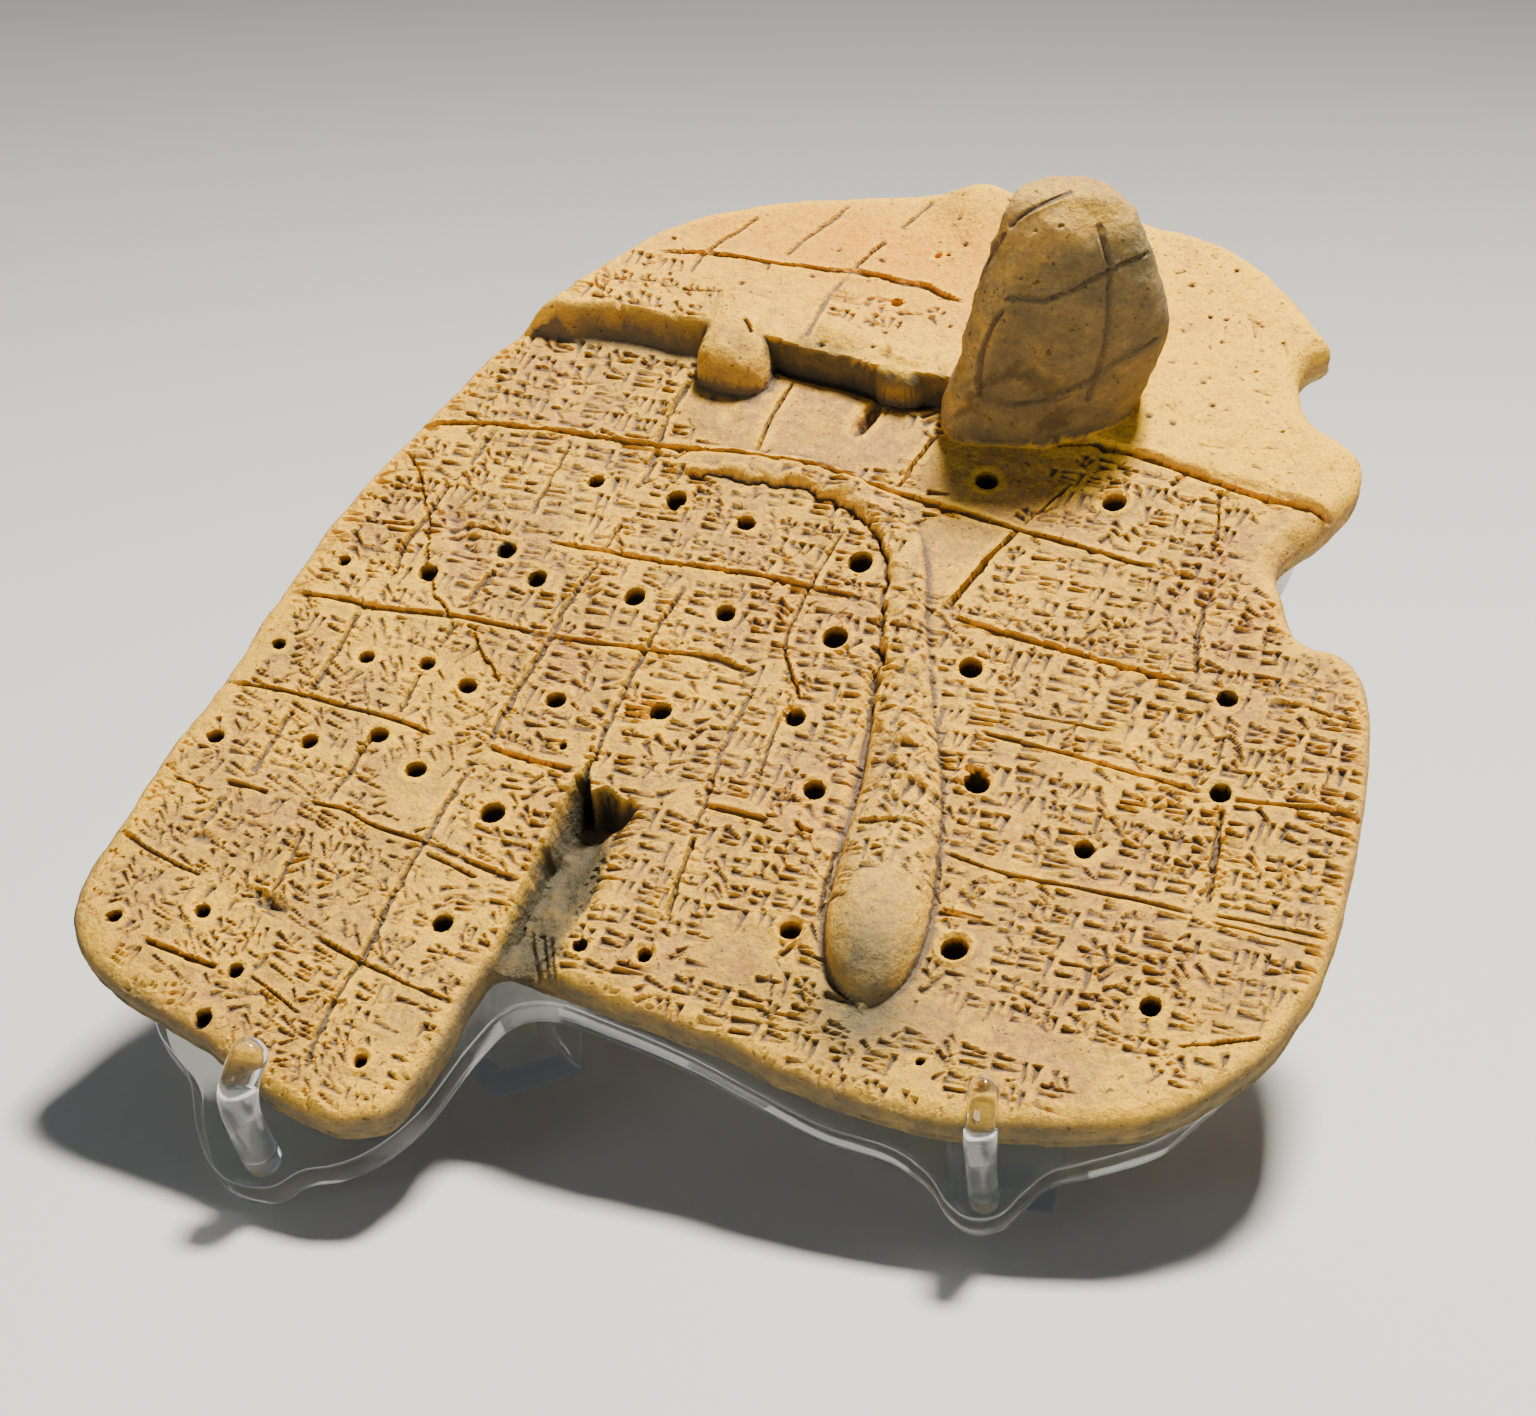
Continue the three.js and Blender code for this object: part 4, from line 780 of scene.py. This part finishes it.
# What the clay's colour follows: how deep a place lies in a stroke, where shade and light are painted
# in, and where the surface is stained, each kept on the mesh as a number from 0 to 1
flat = np.empty((2, len(tablet_mesh.vertices) * 3), np.float32)
tablet_mesh.vertices.foreach_get("co", flat[0])
tablet_mesh.vertex_normals.foreach_get("vector", flat[1])
px, py, pz = flat[0].reshape(-1, 3).astype(float).T
to_eye = eye - np.column_stack([px, py, pz])
toward_eye = (flat[1].reshape(-1, 3) * to_eye).sum(1) > 0
seen_x, seen_y = as_seen(px, py, pz)


def smoothed(values, reach):
    """The mean over a square of cells, from running sums along each way."""
    for axis in (0, 1):
        margins = [(reach + 1, reach) if k == axis else (0, 0) for k in (0, 1)]
        total = np.cumsum(np.pad(values, margins, "edge"), axis)
        span = 2 * reach + 1
        values = (np.take(total, range(span, total.shape[axis]), axis)
                  - np.take(total, range(0, total.shape[axis] - span), axis)) / span
    return values


level, away_from_rim = smoothed(Z, 3), smooth_step(within / 2)
i = np.clip(np.round((py - grid_y[0]) / cell).astype(int), 0, len(grid_y) - 1)
j = np.clip(np.round((px - grid_x[0]) / cell).astype(int), 0, len(grid_x) - 1)
on_face = (pz > -2.3) | (np.abs(pz - Z[i, j]) < 1.2)
above_back = pz > back_z[i, j] + 0.6
lobe_oval = ((px - 18) / 14) ** 2 + ((py - 46) / 12.8) ** 2 < np.where(py < 41, 1.45, 1.1)
lobe_part = lobe_oval & (pz > np.maximum(Z[i, j] + 0.35, 0.9))
face_part = (pz > -2) * ~lobe_part

# how far a place lies below the local level; it darkens strokes, rulings and the lobe's incised lines as
# painted shade
hollow = np.clip((level[i, j] - pz) / 0.5, -1, 1) * away_from_rim[i, j]
in_line, in_crack, in_hole = np.zeros((3, len(px)))
for places in lobe_lines:
    gap = nearest_on(flowing(places, 20), seen_x, seen_y)[2]
    in_line = np.maximum(in_line, np.clip(1 - gap / 0.6, 0, 1) * lobe_part * toward_eye)
cavity = np.where(lobe_part, in_line, np.where(on_face, hollow, 0))
for places in cracks:
    gap = nearest_on(flowing(places, 40), px + 0.5 * soft_noise(px, py, 1.9, 61), py)[2]
    in_crack = np.maximum(in_crack, (gap < 0.17) * on_face)
for hx, hy, diameter in face_holes:
    at_hole = np.hypot(px - hx, py - hy) < diameter / 2 + 0.05
    in_hole = np.maximum(in_hole, at_hole * above_back * np.clip(-0.2 - pz, 0, 1))

# Painted shade, each mask a place where shade falls: the lower rim walls, the fissure floor, the knob's
# blunt end face and the step wall
low_edge_shade = np.clip(-(pz + 0.4) / 1.3, 0, 1) * smooth_step((-22 - py) / 20)
below_head = (py > -56) * (py < -22.6)
in_fissure = smooth_step((px + 20.5) / 0.8) * smooth_step((-9.5 - px) / 5) * below_head
fissure_shade = 1.1 * in_fissure * np.clip(-(pz + 0.5) / 1.8, 0, 1)
under_lip = smooth_step(px + 20) * smooth_step((-9.5 - px) / 1.5) * smooth_step((py + 33) / 5)
under_lip = under_lip * (py < -22.6) * np.clip(-(pz + 0.3) / 1.2, 0, 1)
# Painted shade on the standing lobe's front, which faces away from the light
lobe_front = lobe_part * smooth_step((0.42 * (px - 19) - 0.9 * (py - 46.5) + 3) / 5)
lobe_front = lobe_front * np.clip((35.5 - pz) / 5, 0.2, 1) * np.clip((seen_x - 5.5) / 4, 0.25, 1)
# painted light: the lobe's top and upper left are kept lighter, as if lit
lit_lobe_top = (smooth_step((pz - 28) / 6) + 0.9 * spot(seen_x, seen_y, (13, 74), (2.5, 3.5))
            + 0.75 * smooth_step((14 - seen_x) / 5) * smooth_step((seen_y - 60) / 8))
lit_lobe_top = np.clip(lit_lobe_top, 0, 1) * lobe_part
# Painted shade: the gall bladder's sides take the shaded copy of the clay colour
bulb_shade_tint = 0.45 * np.exp(-((px - 20.5) / 6.5) ** 4 - ((py + 32) / 15) ** 4)
bulb_shade_tint = bulb_shade_tint * smooth_step(pz - 0.3)
# painted shade on the knob's end face, which faces down away from the light
knob_end_shade = 0.7 * np.exp(-((px + 22) / 4.5) ** 4) * (py > 33)
knob_end_shade = knob_end_shade * smooth_step((37.8 - py) / 2.5) * smooth_step((5.2 - pz) / 1.5)
step_gap = py - np.interp(px, step_places[:, 0], step_places[:, 1])
# painted shade on the step wall, which faces down away from the light
step_wall_shade = np.exp(-((step_gap - 0.5) / 1.9) ** 2) * smooth_step((px + 50) / 8)
step_wall_shade = step_wall_shade * smooth_step((7 - px) / 2) * smooth_step((5 - pz) / 0.7)
# Painted shadows: the standing lobe's shadow below and beside its foot, and the shadow under the gall
# bladder's overhanging end
cast_shadows = (0.95 * spot(px, py, (21.7, -42), (6, 6.5)) + 0.6 * spot(px, py, (22, -48), (9, 4.5))
           + 0.32 * spot(px, py, (15, 33.5), (9, 3.5)) * (pz < 2)
           + 0.15 * spot(px, py, (28.5, 42), (3, 6)) * (pz < 3))
# all the painted shade together, laid on below in grey-brown
painted_shade = (low_edge_shade + fissure_shade + 0.9 * lobe_front * (1 - lit_lobe_top) + knob_end_shade + step_wall_shade
        + cast_shadows)
# Painted shade, nearly black: inside the holes, in the cracks, under the fissure's overhanging lip, on the
# fissure floor and at the foot of the step wall
deep_shade = np.maximum.reduce([
    in_hole, 0.16 * in_crack, (0.12 + 0.18 * smooth_step(py + 27.6)) * under_lip,
    0.15 * np.clip(fissure_shade, 0, 1), 0.18 * step_wall_shade * smooth_step((px + 20) / 3)])

# each is [x, y, two reaches, how much pinker, or paler where it is below 0]
stained_spots = [
    (-8, 12, 22, 13, 0.35), (-22, -40, 9, 10, 0.35), (50, 22, 9, 8, 0.45), (10, -20, 14, 12, 0.2),
    (-22.5, 50, 3, 3.5, 0.8), (-6, 35, 12, 4, 0.35), (-55, 0, 9, 30, -0.35),
    (21, -30, 5.5, 13, -0.6), (35, 55, 20, 14, -0.3)]
stain = 0.5 + 0.7 * soft_noise(px + 0.3 * pz, py + 0.3 * pz, 12.0, 97, 3)
for sx, sy, reach_x, reach_y, share in stained_spots:
    stain += share * spot(px, py, (sx, sy), (reach_x, reach_y))
# Painted shade: the back and the walls below the face take the shaded copy of the clay colour
underside_shade = 0.85 * np.clip((back_z[i, j] + 1.5 - pz) / 0.7, 0, 1)
numbers = {
    "cavity": cavity * 0.5 + 0.5, "recess_shade": deep_shade, "painted_shade": np.clip(painted_shade, 0, 1),
    "stain": np.clip(stain, 0, 1), "warm": spot(px, py, (-12, 60), (30, 10)) * face_part,
    # paler clay on the plain field and terrace, pushed far paler as painted light where the lamp's pool
    # falls
    "pale": np.clip(on_plain[i, j] + on_terrace[i, j] * 0.7, 0, 1) * face_part,
    # where the shaded copy of the clay colour goes, as painted shade
    "lobe": np.maximum.reduce([lobe_part * (1 - 0.75 * lit_lobe_top), bulb_shade_tint, underside_shade])}
for name, values in numbers.items():
    attribute = tablet_mesh.attributes.new(name, "FLOAT", "POINT")
    attribute.data.foreach_set("value", values.astype(np.float32))
tablet_mesh.transform(face_frame)


class Nodes:
    """A material's shader nodes, added and joined by name, and the colour laid on so far."""

    def __init__(self, name, **sockets):
        """A new material; its shader's sockets are set to the plain values given."""
        self.material = bpy.data.materials.new(name)
        self.material.use_nodes = True
        self.tree = self.material.node_tree
        self.shader = self.tree.nodes["Principled BSDF"]
        self.place = self.tree.nodes.new("ShaderNodeTexCoord").outputs["Object"]
        self.fill(self.shader, sockets)

    def fill(self, node, sockets):
        """Fills a node's sockets: one given as another node's output is joined, any other is
        set. A space in a socket's name is written as _, and _0 stands for the first socket."""
        for key, value in sockets.items():
            socket = node.inputs[int(key[1:]) if key[1:].isdigit() else key.replace("_", " ")]
            if isinstance(value, bpy.types.NodeSocket):
                self.tree.links.new(value, socket)
            else:
                socket.default_value = value

    def add(self, kind, **sockets):
        """One node with its sockets filled."""
        node = self.tree.nodes.new("ShaderNode" + kind)
        self.fill(node, sockets)
        return node

    def number(self, name):
        """The mesh's own number of that name."""
        node = self.tree.nodes.new("ShaderNodeAttribute")
        node.attribute_name = name
        return node.outputs["Fac"]

    def noise(self, scale, detail=3.0, rough=0.55):
        """Smooth noise from 0 to 1, so many lumps to the metre."""
        return self.add("TexNoise", Vector=self.place, Scale=scale, Detail=detail,
                        Roughness=rough).outputs["Fac"]

    def ramp(self, value, low, high, start=0.0, end=1.0):
        """start below low, end above high, and a straight line between."""
        return self.add("MapRange", Value=value, From_Min=low, From_Max=high, To_Min=start,
                        To_Max=end).outputs["Result"]

    def sum_of(self, first, second, operation="ADD"):
        """The sum of two numbers, or what another operation makes of them."""
        node = self.add("Math", _0=first, _1=second)
        node.operation = operation
        return node.outputs[0]

    def times(self, first, second):
        """The product of two numbers."""
        return self.sum_of(first, second, "MULTIPLY")

    def coat(self, share, tint):
        """Lays a tint over the colour so far: colour times (1 - share) plus tint times share."""
        node = self.tree.nodes.new("ShaderNodeMix")
        node.data_type = "RGBA"
        self.fill(node, {"_0": share, "_6": self.colour, "_7": tint})
        self.colour = node.outputs[2]


def clay_material():
    """Baked clay: buff with pink and ochre patches, dark specks and a fine open grain, with light
    and shade painted in: darker in the strokes, grey-green along the bottom, in the fissure and on
    the standing lobe, near black in the holes, a shaded copy of the colour on the lobe and the
    back, and paler on raised places, the plain field and the terrace. Each coat's share is a ramp
    of a noise or of one of the mesh's numbers, or the two multiplied."""
    clay = Nodes("baked_clay", Specular_IOR_Level=0.25)
    buff, ochre = (0.47, 0.262, 0.055, 1), (0.4, 0.207, 0.036, 1)
    pink, pale = (0.46, 0.22, 0.06, 1), (0.97, 0.53, 0.01, 1)
    # the first colour on the next line is the grey-brown of painted shade; the second darkens hollows as
    # painted shade and also gives darker mottles and grain
    shade_brown, deep, speck = (0.118, 0.095, 0.048, 1), (0.12, 0.086, 0.058, 1), (0.03, 0.024, 0.015, 1)
    # the last colour on the next line is the near-black of painted shade in holes and cracks
    warmth, shaded, deep_shade = (0.74, 0.29, 0.0, 1), (0.42, 0.31, 0.12, 1), (0.02, 0.022, 0.016, 1)
    clay.colour = buff
    clay.coat(clay.ramp(clay.noise(60, 4), 0.36, 0.66), ochre)
    clay.coat(clay.ramp(clay.number("stain"), 0.5, 1, 0, 0.75), pink)
    clay.coat(clay.ramp(clay.number("stain"), 0.45, 0, 0, 0.45), pale)
    worn = clay.ramp(clay.noise(190, 5, 0.6), 0.35, 0.6, 0.6, 1)
    # painted light: the plain field and terrace, paler clay pushed far paler as if a pool of lamp light lay
    # there, unevenly by a noise
    clay.coat(clay.times(clay.number("pale"), worn), pale)
    # painted shade: a shaded copy of the clay colour on the lobe, the bulb sides and the back
    clay.coat(clay.times(clay.number("lobe"), 0.85), shaded)
    clay.coat(clay.ramp(clay.noise(230, 5, 0.65), 0.5, 0.72, 0, 0.6), pale)
    clay.coat(clay.ramp(clay.noise(290, 5, 0.65), 0.55, 0.75, 0, 0.55), ochre)
    clay.coat(clay.ramp(clay.noise(950, 3, 0.6), 0.5, 0.72, 0, 0.5), pale)
    uneven = clay.ramp(clay.noise(120, 3), 0.3, 0.6, 0.6, 0.9)
    clay.coat(clay.times(clay.number("warm"), uneven), warmth)
    clay.coat(clay.ramp(clay.noise(820, 3, 0.6), 0.52, 0.74, 0, 0.45), deep)
    # painted shade: the hollows of strokes and rulings are darkened
    clay.coat(clay.ramp(clay.number("cavity"), 0.54, 0.74, 0, 0.92), deep)
    # painted light: places standing above the local level are made paler, as if lit
    clay.coat(clay.ramp(clay.number("cavity"), 0.47, 0.3, 0, 0.5), pale)
    patchy = clay.ramp(clay.noise(300, 6, 0.65), 0.3, 0.6, 0.7, 1)
    # painted shade: grey-brown laid on unevenly where shade falls
    clay.coat(clay.times(clay.number("painted_shade"), patchy), shade_brown)
    clay.coat(clay.ramp(clay.noise(1250, 2, 0.5), 0.66, 0.71, 0, 0.75), speck)
    clay.coat(clay.ramp(clay.noise(2600, 2, 0.5), 0.45, 0.75, 0, 0.45), deep)
    # painted shade: holes, cracks and the space under the lip go nearly black
    clay.coat(clay.ramp(clay.number("recess_shade"), 0.02, 0.3, 0, 0.96), deep_shade)
    height = clay.sum_of(clay.times(clay.noise(1700, 5, 0.62), 0.5), clay.noise(520, 3, 0.5))
    bump = clay.add("Bump", Height=height, Strength=1.0, Distance=0.0006)
    clay.fill(clay.shader, {
        "Base Color": clay.colour, "Normal": bump.outputs["Normal"],
        "Roughness": clay.ramp(clay.noise(700, 4), 0.3, 0.7, 0.72, 0.95)})
    return clay.material


def finish(piece, node, material):
    """A piece's material, the body that it rides on, and the solid that it stands for."""
    piece.data.materials.clear()
    piece.data.materials.append(material)
    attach(piece, "root")
    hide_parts(node)


finish(tablet, "tablet", clay_material())


# Back plate. One sheet of clear acrylic, 5 mm thick, cut to the tablet's outline with a lobe in
# front of each peg; its cut edges are flame-polished and its two faces are flat and glossy.
plate_places = np.array([
    (-42, -80.6), (-45.8, -79), (-49.5, -75), (-53, -69.6), (-59, -65.3), (-62.5, -59), (-65, -50),
    (-65, -40), (-63, -24), (-60, -5), (-56, 14), (-50, 31), (-43, 46), (-33, 58), (-20, 66),
    (-4, 70.5), (13, 73), (28, 71.5), (39, 66), (45, 59), (46, 50), (51, 43), (51, 34), (48, 26),
    (52, 17), (60, 10), (64.5, -3), (65.5, -19), (63.5, -33), (59, -42), (56.3, -46), (49.5, -50.8),
    (45.9, -53), (43.8, -56.3), (42, -59.6), (39, -60.9), (36, -59.7), (33.2, -57.2), (28.6, -55.4),
    (20, -54.9), (12, -53.2), (2, -50.9), (-9, -49.4), (-15.6, -49), (-19.8, -51), (-22.2, -56.4),
    (-24.9, -66.6), (-27.8, -71.8), (-31.4, -75.2), (-35, -77), (-37.4, -79.8)])
plate_front, plate_back = -12.3, -17.3


def edge_rings(outline, front_z, back_z, rounding, count):
    """Rings round a sheet's cut edge: the outline, which runs anticlockwise, moved in by rounding
    times (1 - cos) and up by rounding times sin at each of a few angles, from the back face round
    to the front."""
    inward = left_of(outline)
    rings = []
    for z, way in ((back_z + rounding, -1), (front_z - rounding, 1)):
        for angle in np.linspace(0, np.pi / 2, count)[::way]:
            moved = outline + inward * rounding * (1 - np.cos(angle))
            ring_z = z + way * rounding * np.sin(angle)
            rings.append(np.column_stack([moved, np.full(len(moved), ring_z)]))
    return np.array(rings)


def clear_material(name, tint, frost, body):
    """Clear acrylic: light passes through, bent as acrylic bends it, with a faint tint; the rest
    of the share given as body goes straight on, as it does through a thin flat sheet."""
    clear = Nodes(name, Base_Color=tint, Transmission_Weight=1.0, IOR=1.49, Roughness=frost, Alpha=body)
    bump = clear.add("Bump", Height=clear.noise(90, 2, 0.5), Strength=0.12, Distance=0.0006)
    clear.fill(clear.shader, {"Normal": bump.outputs["Normal"]})
    return clear.material


def closed_skin(name, rings):
    """An object from rings of equal count, joined side by side, with a flat face on each end."""
    p, q, r, s = ring_corners(*rings.shape[:2])
    mesh = bpy.data.meshes.new(name)
    faces = faces_of(p, q, s, r).tolist() + [p[0, ::-1].tolist(), r[-1].tolist()]
    mesh.from_pydata(rings.reshape(-1, 3).tolist(), [], faces)
    mesh.polygons.foreach_set("use_smooth", [len(f.vertices) == 4 for f in mesh.polygons])
    return shown_object(name, mesh)


acrylic = clear_material("clear_acrylic", (0.93, 0.975, 0.955, 1), 0.03, 0.55)
plate_outline = closed_curve(plate_places, 0.9)[::-1]
plate_rings = edge_rings(plate_outline, plate_front, plate_back, rounding=0.9, count=5)
plate = closed_skin("acrylic_plate", plate_rings)
plate.data.transform(face_frame)
finish(plate, "back_plate", acrylic)


# Pegs. Two clear rods, cemented upright on the plate's front lobes and bent hot over the edge of
# the clay, so that the tablet can't slide off; their ends are rounded.
def bent_rod(name, foot, tip, tip_z, radius):
    """A tube round a path: up from the foot, through a bend that is a parabola, and on to the
    tip, where its rings shrink as a quarter ellipse; it flattens a little through the bend."""
    foot, top = np.array([*foot, -12.0]), np.array([*foot, 2.6])
    tip = np.array([*tip, tip_z])
    enter, leave = top - [0, 0, 2.4 * radius], top + (tip - top) * 0.42
    t = np.linspace(0, 1, 22)[1:-1, None]
    bend = (1 - t) ** 2 * enter + 2 * t * (1 - t) * top + t ** 2 * leave
    path = np.vstack([foot + (enter - foot) * np.linspace(0, 1, 12)[:, None], bend,
                      leave + (tip - leave) * np.linspace(0, 1, 16)[:, None]])
    along = np.gradient(path, axis=0)
    along /= np.linalg.norm(along, axis=1)[:, None]
    across = np.array([1.0, 0, 0]) - along[:, :1] * along
    across /= np.linalg.norm(across, axis=1)[:, None]
    up = np.cross(along, across)
    left = np.linalg.norm(path[-1] - path, axis=1)
    size = radius * np.sqrt(np.clip(1 - np.clip(1 - left / (0.9 * radius), 0, 0.985) ** 2, 0, 1))
    bend_middle, bend_reach = 21, 7
    bent = np.exp(-((np.arange(len(path)) - bend_middle) / bend_reach) ** 2)
    angle = np.linspace(0, 2 * np.pi, 36, endpoint=False)[None, :, None]
    rings = (path[:, None] + size[:, None, None] * (
        across[:, None] * np.cos(angle) * (1 + 0.1 * bent[:, None, None])
        + up[:, None] * np.sin(angle) * (1 - 0.1 * bent[:, None, None])))
    rod = closed_skin(name, rings)
    rod.data.transform(face_frame)
    return rod


rod_acrylic = clear_material("clear_acrylic_rod", (0.96, 0.985, 0.975, 1), 0.02, 0.85)
left_peg = bent_rod("acrylic_left_peg", (-39.6, -77), (-40.2, -69.6), tip_z=3.2, radius=2.2)
right_peg = bent_rod("acrylic_right_peg", (40, -58.4), (38.4, -51), tip_z=2.6, radius=1.7)
finish(left_peg, "left_peg", rod_acrylic)
finish(right_peg, "right_peg", rod_acrylic)


# Legs. Square clear bars, sawn at the plate's slant, cemented under it and polished; the two in
# front are seen, and the taller one behind is hidden by the tablet.
def square_leg(name, place, turn):
    """A square bar with rounded corners, from the ground up to a plane just under the plate."""
    side, corner, steps = 12.4, 0.7, 5
    angle = np.radians(np.concatenate([np.linspace(k, k + 90, steps) for k in (0, 90, 180, 270)]))
    centre = np.repeat([(1, 1), (-1, 1), (-1, -1), (1, -1)], steps, 0) * (side / 2 - corner)
    plan = centre + corner * np.column_stack([np.cos(angle), np.sin(angle)])
    c, s = np.cos(np.radians(turn)), np.sin(np.radians(turn))
    plan = plan @ np.array([[c, s], [-s, c]]) + np.array(place) + np.array(face_place[:2]) * 1000
    normal = np.array(face_turn.to_3x3() @ Vector((0, 0, 1)))
    offset = np.array(face_place) @ normal * 1000 + plate_back - 0.3
    top = (offset - plan @ normal[:2]) / normal[2]
    low_in = (plan - plan.mean(0)) * 0.975 + plan.mean(0)
    rings = [np.column_stack([places, np.broadcast_to(height, len(plan))])
             for places, height in ((low_in, 0), (plan, 0.3), (plan, top - 0.02))]
    return closed_skin(name, np.array(rings) / 1000)


for node, place, turn in (("left_leg", (-33.8, -12.2), 44), ("right_leg", (28.9, -29.4), -2),
                          ("rear_leg", (5, 42), 0)):
    finish(square_leg("acrylic_" + node, place, turn), node, acrylic)


# Studio. A plain pale floor, a soft light high above the tablet, a weak one from the front left,
# and a camera where the photograph was taken from; none of it belongs to the object.
floor_mesh = bpy.data.meshes.new("floor")
floor_mesh.from_pydata([(-3, -3, 0), (3, -3, 0), (3, 3, 0), (-3, 3, 0)], [], [(0, 1, 2, 3)])
floor = shown_object("floor", floor_mesh)
floor_paint = Nodes("floor_paint", Base_Color=(0.55, 0.54, 0.52, 1), Roughness=0.9)
floor_mesh.materials.append(floor_paint.material)


def soft_light(name, place, size, power, colour, aim=(0, 0, 0.05)):
    """A square area light that looks at the object."""
    lamp = bpy.data.lights.new(name, "AREA")
    lamp.size, lamp.energy, lamp.color = size, power, colour
    holder = shown_object(name, lamp)
    holder.location = place
    holder.rotation_euler = (Vector(aim) - Vector(place)).to_track_quat("-Z", "Y").to_euler()


soft_light("key", (0.17, -0.01, 0.78), size=0.13, power=21, colour=(1, 0.95, 0.87))
soft_light("fill", (-0.7, -1.2, 0.9), size=0.4, power=1.9, colour=(0.86, 0.93, 1))
world = bpy.data.worlds.new("studio")
world.use_nodes = True
backdrop = world.node_tree.nodes["Background"]
backdrop.inputs["Color"].default_value = (0.76, 0.88, 1, 1)
backdrop.inputs["Strength"].default_value = 0.15
bpy.context.scene.world = world

frame_width, lens_length = 1536, 3000
camera = bpy.data.cameras.new("camera")
camera.sensor_width, camera.lens = 36, 36 * lens_length / frame_width
holder = shown_object("camera", camera)
turn, rise = np.radians(9.709), np.radians(22)
right = Vector((np.cos(turn), np.sin(turn), 0))
upward = Vector((-np.sin(turn) * np.sin(rise), np.cos(turn) * np.sin(rise), np.cos(rise)))
behind = Vector((np.sin(turn) * np.cos(rise), -np.cos(turn) * np.cos(rise), np.sin(rise)))
from_face = Vector((0.05269, -0.33224, 0.12723))
looking = Matrix((right, upward, behind)).transposed().to_4x4()
holder.matrix_world = Matrix.Translation(face_place + from_face) @ looking
bpy.context.scene.camera = holder
